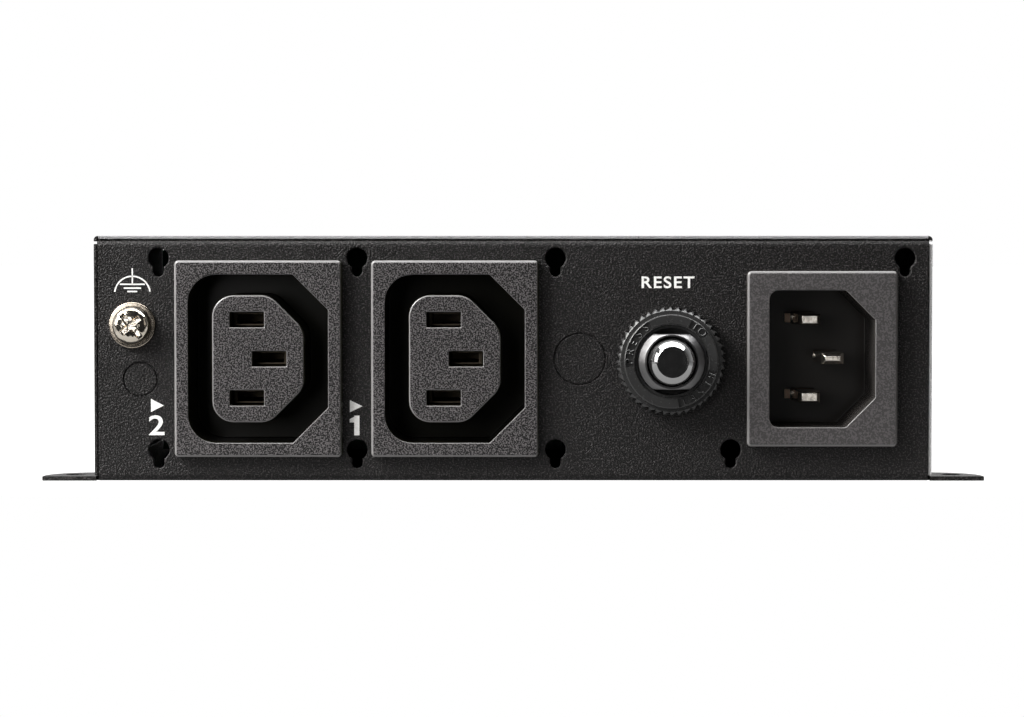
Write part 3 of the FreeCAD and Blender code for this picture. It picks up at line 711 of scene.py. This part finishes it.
def powder_coat(name, cut_ends=False):
    """Black textured paint, slightly brown, with fine raised grains; cut ends of the sheet are bare, with a
    painted highlight making the right end much lighter.
    """
    look = Finish(name)
    look.grain(paint_grains, 0.54, 0.61)
    tone = look.colours(look.clouds, paint_dark, paint_light)
    paint = look.colours(look.specks, tone, paint_specks)
    look.give("Specular IOR Level", 0.28)
    if cut_ends:
        skin = paint_skin * MM
        near = cover_low.y * MM + skin
        far = cover_high.y * MM - skin
        left = (cover_low.x + corner_paint) * MM
        right = (cover_high.x - corner_paint) * MM
        top = (cover_high.z - corner_paint) * MM
        first = look.mapped(look.place("Y"), near, near + skin, 1.0, 0.0)
        last = look.mapped(look.place("Y"), far - skin, far, 0.0, 1.0)
        ends = look.calculated("MAXIMUM", first, last)
        # The cut edge at the left end and the top right corner keep the dark paint; at the right end the
        # edge gets a much lighter grey, which is a painted highlight.
        beyond_left = look.mapped(look.place("X"), left, left + skin, 0.0, 1.0)
        right_highlight_mask = look.mapped(look.place("X"), right, right + skin, 0.0, 1.0)
        # The bare edge colour, with the painted highlight at the right end.
        bare = look.colours(right_highlight_mask, bare_left, bare_right_painted_highlight)
        above = look.mapped(look.place("Z"), top, top + skin, 0.0, 1.0)
        corner = look.calculated("MULTIPLY", right_highlight_mask, above)
        open_ends = look.calculated("MULTIPLY", ends, beyond_left)
        shown = look.calculated("MULTIPLY", open_ends, look.mapped(corner, 0.0, 1.0, 1.0, 0.0))
        paint = look.colours(shown, paint, bare)
    look.give("Base Color", paint)
    look.gloss(0.50, 0.36)
    look.bump(look.height, paint_bump)
    return look.material


def moulded_plastic(name, node, dark, light, inside, grains, bump):
    """Black moulding: spark-textured and greyer on its front face, smooth and deep black behind it, where
    on the outlets the near-black is partly painted shade in the deep mouth; its rounded front edges, except
    those facing right, carry a painted highlight.
    """
    look = Finish(name)
    look.grain(grains, 0.49, 0.56)
    near = (node_box(node)[0].y + spark_depth) * MM
    outside = look.mapped(look.place("Y"), near, near + spark_fade * MM, 1.0, 0.0)
    facing = look.mapped(look.place("Y", "Normal"), -0.98, -0.93, 1.0, 0.0)
    textured = look.calculated("MULTIPLY", outside, facing)
    spark = look.colours(look.specks, dark, light)
    # Painted highlight: rounded front edges that do not face right get the light grey, as if lit from the
    # upper left.
    highlight_sides = look.mapped(look.place("X", "Normal"), 0.2, 0.5, 1.0, 0.0)
    edge_highlight_mask = look.calculated("MULTIPLY", outside, highlight_sides)
    smooth_or_highlight = look.colours(edge_highlight_mask, inside, painted_edge_highlight)
    look.base(textured, smooth_or_highlight, spark)
    look.give("Roughness", look.mapped(textured, 0.0, 1.0, 0.24, 0.58))
    shine = look.mapped(outside, 0.0, 1.0, 0.15, 0.8)
    dulled = look.calculated("SUBTRACT", shine, look.mapped(textured, 0.0, 1.0, 0.0, 0.5))
    look.give("Specular IOR Level", dulled)
    look.bump(look.calculated("MULTIPLY", look.height, textured), bump)
    return look.material


def bright_metal(name, colour, roughness, streak=0.04, bump=0.0):
    """Plated or bare metal with fine changes of gloss, and with dents where it has a bump."""
    look = Finish(name, roughness, 1.0)
    look.grain(metal_grains)
    darker = tuple(metal_shade * part for part in colour)
    look.base(look.clouds, darker, colour)
    look.gloss(roughness - streak, roughness + streak)
    look.bump(look.height, bump)
    return look.material


def gloss_black():
    """Polished black, lacquered."""
    look = Finish("button_gloss_black", 0.08)
    look.grain(700.0)
    look.base(look.clouds, grey(0.004), grey(0.006))
    look.gloss(0.06, 0.10)
    look.give("IOR", 3.5)
    look.give("Coat Weight", 1.0)
    look.give("Coat IOR", 2.0)
    look.give("Coat Roughness", 0.05)
    return look.material


def white_print():
    look = Finish("white_print")
    look.grain(2300.0)
    look.base(look.specks, (0.88, 0.87, 0.85), (0.97, 0.97, 0.96))
    look.bump(look.height, print_bump)
    return look.material


case_paint = powder_coat("powder_coat")
cover_paint = powder_coat("powder_coat_cut", True)
outlet_black = moulded_plastic(
    "outlet_black",
    "outlet_1_housing",
    dark=(0.002, 0.0019, 0.0019),
    light=(0.117, 0.109, 0.112),
    # The near-black of the smooth moulding behind the face is partly painted shade, keeping the deep mouth
    # dark.
    inside=(0.010, 0.010, 0.006),
    grains=3800.0,
    bump=0.00008,
)
inlet_black = moulded_plastic(
    "inlet_black",
    "inlet_housing",
    dark=(0.048, 0.045, 0.046),
    light=(0.090, 0.085, 0.086),
    inside=(0.040, 0.037, 0.035),
    grains=3000.0,
    bump=0.00005,
)
pin_nickel = bright_metal("pin_nickel", (0.86, 0.80, 0.72), 0.20)
# Painted shade: the contacts' brass is made very dark so that the outlet slots read black.
contact_brass = bright_metal("contact_brass", (0.09, 0.075, 0.055), 0.45)
# Painted light: the pin roots lie unlit on the cavity's floor, so their brown is made much lighter to show
# them as lit.
root_brass_painted_light = plain_finish("root_brass_painted_light", (0.66, 0.50, 0.38), (0.76, 0.58, 0.45), 0.50)
link_copper = bright_metal("link_copper", (0.80, 0.42, 0.26), 0.30)
screw_nickel = bright_metal("screw_nickel", (0.70, 0.64, 0.55), 0.14, 0.03, 0.00005)
washer_nickel = bright_metal("washer_nickel", (0.52, 0.46, 0.385), 0.21, 0.03, 0.00003)
screw_black = plain_finish("screw_black", grey(0.012), (0.022, 0.021, 0.021), 0.38)
neck_satin = bright_metal("neck_satin", (0.20, 0.198, 0.20), 0.32)
nut_black = plain_finish("nut_black", grey(0.024), grey(0.034), 0.24, 1800.0)
button_black = gloss_black()
print_white = white_print()
jack_black = plain_finish("jack_black", grey(0.014), grey(0.024), 0.40, 2600.0)
lamp_green = plain_finish("lamp_green", (0.10, 0.42, 0.12), (0.16, 0.55, 0.17), 0.20)

# Nodes that keep the form of their solids: a finish, its two colours and its roughness, then the nodes
current_sensors = ("current_sensor_1", "current_sensor_2")
inner_plastics = (
    ("board_green", (0.010, 0.075, 0.035), (0.016, 0.11, 0.05), 0.35, "outlet_board", "main_board"),
    ("relay_case", (0.02, 0.06, 0.20), (0.03, 0.08, 0.26), 0.40, "relay_1", "relay_2"),
    ("sensor_case", (0.015, 0.015, 0.016), (0.025, 0.025, 0.026), 0.45, *current_sensors),
    ("supply_case", grey(0.02), grey(0.035), 0.50, "power_supply"),
    ("capacitor_sleeve", (0.015, 0.015, 0.03), (0.02, 0.02, 0.045), 0.35, "bulk_capacitor"),
    ("chip_black", grey(0.012), grey(0.02), 0.60, "processor"),
    ("header_plastic", (0.55, 0.53, 0.48), (0.65, 0.63, 0.58), 0.50, "ribbon_headers"),
    ("ribbon_grey", (0.30, 0.30, 0.31), (0.38, 0.38, 0.39), 0.55, "board_ribbon"),
    ("breaker_black", grey(0.014), grey(0.024), 0.45, "breaker_body"),
)
inner_metals = (
    (contact_brass, "breaker_line_tab", "breaker_load_tab", "feed_tabs"),
    (contact_brass, "lan_jack_contacts", "link_jack_contacts", "sensor_jack_contacts"),
    (link_copper, "earth_strap", "line_link", "load_link", "neutral_link", "earth_link"),
    (screw_nickel, "earth_nut", "strap_nut", "board_posts"),
)


def inner_pieces():
    """Finishes of the nodes that no other piece stands for."""
    finishes = list(inner_metals)
    for name, dark, light, roughness, *nodes in inner_plastics:
        finishes.append((plain_finish(name, dark, light, roughness), *nodes))
    for material, *nodes in finishes:
        for node in nodes:
            coat(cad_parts[node], material)


# Case

def painted_case():
    """Folded tray, cover and stud heads, with the soft edges that paint leaves."""
    tray = cad_copy("painted_tray", "base_tray")
    soft_ears(tray)
    for x, z in keyholes:
        cut(tray, flared_keyhole(x, z))
    for node in ("small_stud", "large_stud"):
        cut(tray, groove_flare(node))
        stud_head(node)
    clear_slivers(tray)
    finish(tray, case_paint, "case_paint", "base_tray")
    cover = soft_copy("painted_cover", "top_cover", cover_edge)
    bend_reliefs(cover)
    finish(cover, cover_paint, "case_paint", "top_cover")


def soft_ears(tray):
    """Round the edges of the parts of the tray that stick out past the cover."""
    choose(tray, "VERT", lambda point: cover_low.x < point.x < cover_high.x)
    bpy.ops.mesh.hide(unselected=False)
    bpy.ops.mesh.select_mode(type="EDGE")
    bpy.ops.mesh.edges_select_sharp(sharpness=edge_angle)
    bevel(tray_edge, 2)
    bpy.ops.mesh.reveal(select=False)
    leave_edit()


def stud_head(node):
    """Flush head, spread a little by pressing so that its groove is narrow."""
    stud = cad_copy(f"painted_{node}", node)
    choose(stud, "VERT", lambda point: point.y < front + stud_groove_depth + cutter_grow)
    share = 1 + stud_spread / node_radius(node)
    bpy.ops.transform.resize(value=(share, 1, share), center_override=node_middle(node))
    leave_edit()
    soften(stud, stud_edge)
    finish(stud, case_paint, "case_paint", node)


def groove_flare(node):
    """Cutter that slopes the outer wall of the groove round a stud's head."""
    middle = node_middle(node)
    wall = node_radius(node) + stud_groove_width + cutter_grow
    floor = front + stud_groove_depth
    rim = wall + stud_groove_slope
    profile = [(0, front - overlap), (rim, front - overlap), (rim, front), (wall, floor), (0, floor)]
    return turned("groove", middle.x, middle.z, profile, small_round_steps)


def flared_keyhole(x, z):
    """Cutter for a round hole over a slot, with rounded front rims."""
    cutter = round_flare(x, z, keyhole_diameter / 2 + cutter_grow)
    unite(cutter, round_flare(x, z - keyhole_drop, keyhole_slot / 2 + cutter_grow))
    unite(cutter, slot_flare(x, z))
    return cutter


def round_flare(x, z, hole):
    """Cutter that leaves a rounded rim on a round hole."""
    profile = [(0, front - overlap), (hole + keyhole_edge, front - overlap)]
    profile += arc_points(hole + keyhole_edge, front + keyhole_edge, keyhole_edge, 270, 180, rim_steps)
    profile += [(hole, past_panel), (0, past_panel)]
    return turned("flare", x, z, profile, small_round_steps)


def slot_flare(x, z):
    """Cutter for a keyhole's slot that slopes its front edges."""
    half = keyhole_slot / 2 + cutter_grow
    near_corner = (x - half, front + keyhole_edge, z - keyhole_drop)
    piece = block("slot", near_corner, (x + half, past_panel, z))
    choose(piece, "FACE", faces_front)
    bpy.ops.mesh.extrude_region_move(TRANSFORM_OT_translate={"value": (0, -keyhole_edge, 0)})
    bpy.ops.transform.resize(value=(1 + keyhole_edge / half, 1, 1), center_override=(x, front, z))
    bpy.ops.mesh.extrude_region_move(TRANSFORM_OT_translate={"value": (0, -overlap, 0)})
    leave_edit()
    return piece


def bend_reliefs(cover):
    """Small notches where the cover's top and sides meet at its open ends."""
    top = cover_high.z - relief_drop
    for left in (cover_low.x - overlap, cover_high.x - relief_width):
        for near in (cover_low.y - overlap, cover_high.y - relief_depth):
            far_corner = (left + relief_width + overlap, near + relief_depth + overlap, top)
            cut(cover, block("notch", (left, near, top - relief_height), far_corner))


def cover_screws():
    """Countersunk screws with a cross recess."""
    low, high = node_box("cover_screws")
    piece = soft_copy("crossed_cover_screws", "cover_screws", metal_edge)
    x = (low.x + high.x) / 2
    head = high.x - low.x
    bars = ((screw_cross_width, screw_cross_length), (screw_cross_length, screw_cross_width))
    for y in (low.y + head / 2, high.y - head / 2):
        for width, length in bars:
            corner = (x - width / 2, y - length / 2, high.z - screw_cross_depth)
            far_corner = (x + width / 2, y + length / 2, high.z + overlap)
            cut(piece, block("cross", corner, far_corner))
    finish(piece, screw_black, "screw_steel", "cover_screws")


# Connectors

def runs_back(first, second):
    """Whether an edge runs along the depth."""
    return abs(first.y - second.y) > overlap


def socket_block(name, x, size, corner, chamfer, blend, near, far):
    """Connector form, rounded on the pole side and chamfered on the earth side."""
    piece = panel_block(name, x, socket_z, *size, near, far)
    bevel_edges(piece, lambda a, b: runs_back(a, b) and a.x < x, corner, corner_steps)
    bevel_edges(piece, lambda a, b: runs_back(a, b) and a.x > x, chamfer, 1)
    if blend:
        reach = blend * math.tan(chamfer_half_turn)
        bevel_edges(piece, lambda a, b: runs_back(a, b) and a.x > x, reach, corner_steps // 2)
    return piece


def at_depth(depth):
    """Test for edges that lie at one depth."""
    return lambda first, second: max(abs(first.y - depth), abs(second.y - depth)) < near_enough


def flange_plate(name, x, width, height, face):
    """Plate on the panel with small round corners and a soft front edge."""
    piece = panel_block(name, x, socket_z, width, height, face, front)
    bevel_edges(piece, runs_back, flange_corner, corner_steps)
    bevel_edges(piece, at_depth(face), flange_edge, 1)
    return piece


def latch(x, surface, up):
    """Snap wedge behind the panel, sloping down to the back of a connector body."""
    near = front + tray_sheet + latch_gap
    far = near + latch_length
    inner = surface - up * outlet_wall / 2
    outer = surface + up * latch_height
    low = (x - latch_width / 2, near, min(inner, outer))
    piece = block("latch", low, (x + latch_width / 2, far, max(inner, outer)))
    drop = (0, 0, surface - outer)
    move(piece, lambda point: max(far - point.y, abs(point.z - outer)) < near_enough, drop)
    return piece


def connector_shell(name, node, wall, mouth_size, mouth_shape, mouth_depth):
    """Flange and body of a connector with its mouth cut in."""
    low, high = node_box(node)
    x = (low.x + high.x) / 2
    piece = flange_plate(name, x, high.x - low.x, high.z - low.z, low.y)
    width = mouth_size[0] + 2 * wall
    height = mouth_size[1] + 2 * wall
    body = panel_block("body", x, socket_z, width, height, low.y + overlap, high.y)
    unite(body, latch(x, socket_z + height / 2, 1))
    unite(body, latch(x, socket_z - height / 2, -1))
    unite(piece, body)
    mouth = socket_block("mouth", x, mouth_size, *mouth_shape, low.y - overlap, low.y + mouth_depth)
    cut(piece, mouth)
    return piece, x, low.y, high.y


def cut_poles(piece, x, width, height, near, far):
    """Cut an opening for each pole of a connector."""
    for across, up in poles.values():
        cut(piece, panel_block("opening", x + across, socket_z + up, width, height, near, far))


def outlet(number):
    """Moulded outlet with its nose and contact slots, and the contacts behind them."""
    node = f"outlet_{number}_housing"
    name = f"moulded_outlet_{number}"
    mouth_size = (recess_width, recess_height)
    mouth_shape = (recess_corner, recess_chamfer, 0)
    piece, x, face, back = connector_shell(name, node, outlet_wall, mouth_size, mouth_shape, recess_depth)
    nose_front = face + nose_setback
    nose_shape = (nose_corner, nose_chamfer, nose_blend)
    nose_far = face + recess_depth + overlap
    nose = socket_block("nose", x, (nose_width, nose_height), *nose_shape, nose_front, nose_far)
    bevel_edges(nose, at_depth(nose_front), nose_edge, rim_steps)
    unite(piece, nose)
    cut_poles(piece, x, slot_width, slot_height, face - overlap, back + overlap)
    soften(piece, moulded_edge)
    finish(piece, outlet_black, "outlet_plastic", node)
    # The contacts carry the darkened brass, which is painted shade in the slots.
    for pole in poles:
        contact = f"outlet_{number}_{pole}_contact"
        soft_piece(f"folded_{contact}", contact, metal_edge, contact_brass, "contact_brass")


def inlet():
    """Moulded inlet with a deep cavity, and its three pins."""
    node = "inlet_housing"
    name = "moulded_inlet"
    mouth_size = (cavity_width, cavity_height)
    mouth_shape = (cavity_corner, cavity_chamfer, 0)
    piece, x, face, back = connector_shell(name, node, inlet_wall, mouth_size, mouth_shape, cavity_depth)
    cut_poles(piece, x, pin_width, pin_thickness, face, back + overlap)
    soften(piece, moulded_edge)
    finish(piece, inlet_black, "inlet_plastic", node)
    for pole in poles:
        inlet_pin(pole, face + cavity_depth)


def inlet_pin(pole, floor):
    """Flat pin with a tapered tip, its terminal tab behind and its root showing beside it."""
    node = f"inlet_{pole}_pin"
    low, high = node_box(node)
    middle = node_middle(node)
    piece = panel_block(f"tapered_{node}", middle.x, middle.z, pin_width, pin_thickness, low.y, floor)
    choose(piece, "FACE", faces_front)
    bpy.ops.mesh.inset(thickness=pin_inset)
    across = pin_end_width / (pin_width - 2 * pin_inset)
    up = pin_end_heights[pole] / (pin_thickness - 2 * pin_inset)
    bpy.ops.transform.resize(value=(across, 1, up), center_override=(middle.x, low.y, middle.z))
    leave_edit()
    end = low.y + near_enough
    move(piece, lambda point: point.y < end and on_rim(point, middle), (0, pin_point_length, 0))
    half = pin_tab_thickness / 2
    tab = block("tab", (low.x, floor, middle.z - half), (high.x, high.y, middle.z + half))
    unite(piece, tab)
    soften(piece, pin_edge, pin_edge_steps)
    if pole != "earth":
        left = middle.x - pin_width / 2 - pin_root_gap - pin_root_width
        near = (left, floor - pin_root_proud, middle.z - pin_root_height / 2)
        root = block("root", near, (left + pin_root_width, floor, middle.z + pin_root_height / 2))
        root.name = f"root_{node}"
        soften(root, metal_edge)
        # The root's light brown is painted light.
        finish(root, root_brass_painted_light, "pin_nickel")
    finish(piece, pin_nickel, "pin_nickel", node)


def on_rim(point, middle):
    """Whether a point of a pin's end lies on its full outline."""
    wide = abs(abs(point.x - middle.x) - pin_width / 2)
    tall = abs(abs(point.z - middle.z) - pin_thickness / 2)
    return min(wide, tall) < near_enough


# Reset breaker

def breaker_nut():
    """Round nut: toothed skirt, raised face with a rounded rim, mouth round the neck."""
    low, high = node_box("breaker_nut")
    x = (low.x + high.x) / 2
    z = node_middle("reset_button").z
    tip = node_radius("breaker_nut")
    skirt = rod("toothed_nut", x, z, 2 * tip, front - nut_skirt, front, 2 * nut_teeth)
    pair = 2 * math.pi / nut_teeth

    def is_root(point):
        angle = math.atan2(point.z - z, point.x - x)
        return round(angle / (pair / 2)) % 2 == 1

    choose(skirt, "VERT", is_root)
    share = (tip - nut_tooth_depth) / tip
    bpy.ops.transform.resize(value=(share, 1, share), center_override=(x, front, z))
    bpy.ops.transform.rotate(value=pair * nut_tooth_lean, orient_axis="Y", center_override=(x, front, z))
    leave_edit()
    near = front - nut_skirt
    slope = [(0, near), (tip - nut_tooth_slope, near), (tip + nut_edge, near + nut_tooth_slope + nut_edge)]
    combine(skirt, turned("slope", x, z, slope + [(tip + nut_edge, front), (0, front)]), "INTERSECT")
    face = nut_face_diameter / 2
    bore = nut_bore / 2
    mouth = nut_mouth_diameter / 2
    profile = [(bore, front), (bore, low.y + nut_mouth_depth), (mouth, low.y + nut_mouth_depth)]
    profile += arc_points(mouth + nut_face_edge, low.y + nut_face_edge, nut_face_edge, 180, 270, rim_steps)
    profile += arc_points(face - nut_face_edge, low.y + nut_face_edge, nut_face_edge, 270, 360, rim_steps)
    profile += [(face, front - nut_skirt + overlap), (face - overlap, front), (bore, front)]
    cut(skirt, rod("bore", x, z, nut_mouth_diameter, low.y - overlap, front + overlap))
    soften(skirt, nut_edge)
    ring = turned("ring", x, z, profile)
    for text, start, step in nut_words:
        end = start - step * (len(text) - 1)
        cut(ring, word_window(x, z, low.y, start + nut_window_margin, end - nut_window_margin))
    soften(ring, nut_edge)
    piece = join("toothed_nut", [skirt, ring])
    finish(piece, nut_black, "breaker_plastic", "breaker_nut")
    raised_words(x, z, low.y)


def word_window(x, z, face, start, end):
    """Sector of the nut's face, in degrees, in which a word stands."""
    inner = nut_mouth_diameter / 2 + nut_window_rim
    outer = nut_face_diameter / 2 - nut_window_rim
    window = tube("window", x, z, inner, outer, face - overlap, face + nut_window_depth)
    for angle, side in ((start, 1), (end, -1)):
        turn = math.radians(angle)
        cut_away(window, (x, face, z), (-side * math.sin(turn), 0, side * math.cos(turn)))
    weld(window)
    return window


def raised_words(x, z, face):
    """Moulded words in the windows of the nut, read clockwise."""
    signs = []
    for text, start, step in nut_words:
        for index, letter in enumerate(text):
            angle = math.radians(start - index * step)
            sign = letters("sign", letter, nut_word_size, nut_window_depth, nut_word_weight)
            soften(sign, nut_word_edge, 1)
            sign.rotation_euler = (0, math.pi / 2 - angle, 0)
            across = nut_word_radius * math.cos(angle)
            up = nut_word_radius * math.sin(angle)
            sign.location = (x + across, face + nut_window_depth / 2, z + up)
            set_place(sign)
            signs.append(sign)
    piece = join("nut_words", signs)
    finish(piece, nut_black, "breaker_plastic")


def breaker_neck():
    """Metal neck: sloped at its end, flatted above and below, with a wider mouth round the button."""
    low, high = node_box("breaker_bushing")
    middle = node_middle("reset_button")
    outer = neck_diameter / 2
    mouth = neck_mouth_diameter / 2
    hole = neck_hole / 2
    step = low.y + neck_mouth_depth
    profile = [(hole, high.y), (hole, step), (mouth, step), (mouth, low.y), (mouth + neck_lip, low.y)]
    profile += [(outer, low.y + neck_slope), (outer, high.y), (hole, high.y)]
    piece = turned("flatted_neck", middle.x, middle.z, profile)
    ends = (low.y - overlap, high.y + overlap)
    flats = panel_block("flats", middle.x, middle.z, 2 * neck_diameter, neck_flats, *ends)
    combine(piece, flats, "INTERSECT")
    soften(piece, metal_edge)
    finish(piece, neck_satin, "bushing_metal", "breaker_bushing")


def reset_button():
    """Glossy push button with a flat top and a rounded rim, on its square collar."""
    low = node_box("reset_button")[0]
    middle = node_middle("reset_button")
    neck = node_box("breaker_bushing")[0].y
    back = neck + button_cap_depth
    outer = frame_radius("reset_button", neck)
    collar = soft_copy("collar", "reset_button", metal_edge)
    cut_away(collar, (0, back, 0), (0, -1, 0))
    first = math.radians(button_rim_start)
    last = math.radians(button_rim_end)
    swell = button_rim_width / (math.sin(last) - math.sin(first))
    centre = button_face_diameter / 2 - swell * math.sin(first)
    behind = low.y + swell * math.cos(first)
    rim = arc_points(centre, behind, swell, 270 + button_rim_start, 270 + button_rim_end)
    rim_edge, rim_depth = rim[-1]
    shoulder = (outer - rim_edge) / (1 - math.sin(last))
    behind = rim_depth + shoulder * math.cos(last)
    profile = [(0, low.y)] + rim[:-1]
    profile += arc_points(outer - shoulder, behind, shoulder, 270 + button_rim_end, 360)
    profile += [(outer, back), (0, back)]
    cap = turned("glossy_button", middle.x, middle.z, profile)
    soften(cap, button_edge)
    piece = join("glossy_button", [cap, collar])
    finish(piece, button_black, "button_gloss", "reset_button", body="button")


def frame_radius(node, depth):
    """Radius of a round node in front of a depth."""
    middle = node_middle(node).x * MM
    points = [vertex.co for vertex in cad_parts[node].data.vertices if vertex.co.y / MM < depth]
    return max(point.x - middle for point in points) / MM


# Earth point

def earth_point():
    """Plated screw with a domed head, slotted and crossed, over a thin washer."""
    low, high = node_box("earth_screw")
    x = node_middle("earth_screw").x
    z = node_middle("earth_screw").z
    washer_low, washer_high = node_box("earth_washer")
    seat = washer_low.y
    head = node_radius("earth_screw")
    thread = earth_thread / 2
    profile = []
    for index in range(earth_dome_steps + 1):
        angle = math.pi / 2 * index / earth_dome_steps
        reach = math.sin(angle) ** earth_dome_power
        rise = math.cos(angle) ** earth_dome_power
        profile.append((head * reach, seat - (seat - low.y) * rise))
    profile += [(thread, seat), (thread, high.y), (0, high.y)]
    piece = turned("domed_screw", x, z, profile)
    near = low.y - overlap
    far = low.y + earth_cross_depth
    recess = panel_block("recess", 0, 0, earth_cross_length, earth_cross_width, near, far)
    unite(recess, panel_block("bar", 0, 0, earth_cross_width, earth_cross_length, near, far))
    slot = panel_block("slot", 0, 0, 2 * head + overlap, earth_slot_width, near, low.y + earth_slot_depth)
    unite(recess, slot)
    recess.rotation_euler = (0, earth_slot_turn, 0)
    recess.location = (x, 0, z)
    set_place(recess)
    cut(piece, recess)
    soften(piece, metal_edge)
    finish(piece, screw_nickel, "screw_steel", "earth_screw")
    washer = node_radius("earth_washer")
    hole = thread + washer_fit
    rim = washer_edge
    profile = [(hole, washer_high.y), (hole, seat)]
    profile += arc_points(washer - rim, seat + rim, rim, 270, 360, rim_steps)
    profile += [(washer, washer_high.y), (hole, washer_high.y)]
    piece = turned("thin_washer", x, z, profile)
    finish(piece, washer_nickel, "screw_steel", "earth_washer")


# Network end

def network_end():
    """Jacks with soft mouth edges and lamps with rounded lenses."""
    for node in ("lan_jack", "link_jack", "sensor_jack"):
        soft_piece(f"moulded_{node}", node, jack_edge, jack_black, "jack_plastic")
    soft_piece("rounded_lamps", "status_lamps", lamp_edge, lamp_green, "lamp_lens")


# Print

def print_block(x, z, width, height):
    return panel_block("mark", x, z, width, height, front - print_height, front)


def panel_print():
    """White print on the socket panel: outlet numbers and arrows, a word and the earth mark."""
    word = letters("reset_word", "RESET", word_size, print_height, word_weight, word_spacing)
    place_print(word, word_box)
    place_print(letters("outlet_number_2", "2", number_size, print_height, print_weight), two_box)
    place_print(figure_one(), one_box)
    for number, place in zip((2, 1), arrow_boxes):
        place_print(arrow(f"outlet_arrow_{number}"), place)
    finish(earth_mark(), print_white, "case_paint")


def place_print(piece, place):
    """Set a flat mark on the panel."""
    fit(piece, *place)
    back = max(vertex.co.y for vertex in piece.data.vertices)
    piece.location.y = front - back
    set_place(piece)
    finish(piece, print_white, "case_paint")


def figure_one():
    """Upright stroke with a slanted flag and no foot."""
    left, right, low, high = one_box
    stem = block("stem", (right - one_stem, front - print_height, low), (right, front, high))
    flag = block("flag", (left, front - print_height, high - one_flag), (right - one_stem / 2, front, high))
    move(flag, lambda point: max(point.x - left, high - point.z) < near_enough, (0, 0, -one_flag / 2))
    unite(stem, flag)
    stem.name = "outlet_number_1"
    return stem


def arrow(name):
    """Solid triangle pointing right."""
    bpy.ops.mesh.primitive_cylinder_add(
        vertices=3, radius=1, depth=print_height, location=(0, 0, 0), rotation=(math.pi / 2, math.pi / 2, 0)
    )
    piece = settle(name)
    soften(piece, arrow_edge)
    return piece


def earth_mark():
    """Upright line, three bars of falling width and a half ring over them."""
    x = earth_mark_x
    line = earth_mark_line
    low, high = earth_mark_stem
    marks = [print_block(x, (low + high) / 2, line, high - low)]
    for width, height in earth_mark_bars:
        marks.append(print_block(x, height, width, earth_mark_bar))
    outer = earth_mark_radius
    ring = tube("ring", x, earth_mark_top - outer, outer - line, outer, front - print_height, front)
    cut_away(ring, (x, front, earth_mark_ends), (0, 0, -1))
    return join("earth_mark", marks + [ring])


# Floor, light and camera

def studio():
    """White table and backdrop, strips of light above and to the left, little light from the right."""
    bpy.ops.mesh.primitive_plane_add(size=floor_width, location=(0, floor_width / 2 - floor_front, 0))
    floor = settle("floor")
    look = Finish("floor_white", 0.9)
    look.grain(20.0)
    look.base(look.clouds, grey(0.10), grey(0.12))
    look.give("Emission Color", (1, 1, 1))
    seen = look.add("ShaderNodeLightPath").outputs
    direct = look.mapped(seen["Is Camera Ray"], 0.0, 1.0, 0.05, 1.0)
    mirrored = look.mapped(seen["Is Glossy Ray"], 0.0, 1.0, 0.0, 0.38)
    across = look.place("X")
    left = look.mapped(across, -floor_glow - floor_glow_fade, -floor_glow, 0.0, 1.0)
    right = look.mapped(across, floor_glow, floor_glow + floor_glow_fade, 1.0, 0.0)
    mirrored = look.calculated("MULTIPLY", mirrored, look.calculated("MULTIPLY", left, right))
    look.give("Emission Strength", look.calculated("MAXIMUM", direct, mirrored))
    coat(floor, look.material)
    for name, values in soft_boxes.items():
        soft_box(name, *values)


def aim(thing, place, x):
    """Turn a light or the camera to the socket panel, at a place along it in metres."""
    middle = Vector((x, front * MM, aim_height))
    thing.rotation_euler = (middle - Vector(place)).to_track_quat("-Z", "Y").to_euler()


def soft_box(name, place, size, aim_x, power, colour):
    bpy.ops.object.light_add(type="AREA", location=place)
    lamp = bpy.context.active_object
    lamp.name = name
    width, height = size
    set_all(lamp.data, shape="RECTANGLE", size=width, size_y=height, energy=power, color=colour)
    aim(lamp, place, aim_x)


def surroundings():
    """White all round as seen directly; what the surfaces mirror is dark towards the camera's side."""
    world = bpy.data.worlds.new("white_tent")
    bpy.context.scene.world = world
    world.use_nodes = True
    tree = NodeTree(world.node_tree)
    tent = tree.mapped(tree.place("Y", "Generated"), -0.10, 0.30, 0.02, 0.9)
    seen = tree.add("ShaderNodeLightPath").outputs["Is Camera Ray"]
    strength = tree.add("ShaderNodeMix", {"Factor": seen, "A": tent, "B": 1.0})
    background = tree.nodes["Background"]
    tree.feed(background.inputs["Strength"], strength.outputs["Result"])
    tree.feed(background.inputs["Color"], (1, 1, 1))


def camera():
    """Level view of the socket panel from half a metre, a little above it."""
    bpy.ops.object.camera_add(location=camera_place)
    view = bpy.context.active_object
    view.name = "camera"
    set_all(view.data, lens=camera_lens, clip_start=camera_near)
    set_all(view.data, sensor_width=camera_sensor, sensor_fit="HORIZONTAL")
    aim(view, camera_place, camera_aim_x)
    bpy.context.scene.camera = view


painted_case()
cover_screws()
outlet(1)
outlet(2)
inlet()
breaker_nut()
breaker_neck()
reset_button()
earth_point()
network_end()
panel_print()
inner_pieces()
studio()
surroundings()
camera()
bpy.context.scene.view_settings.view_transform = "Standard"
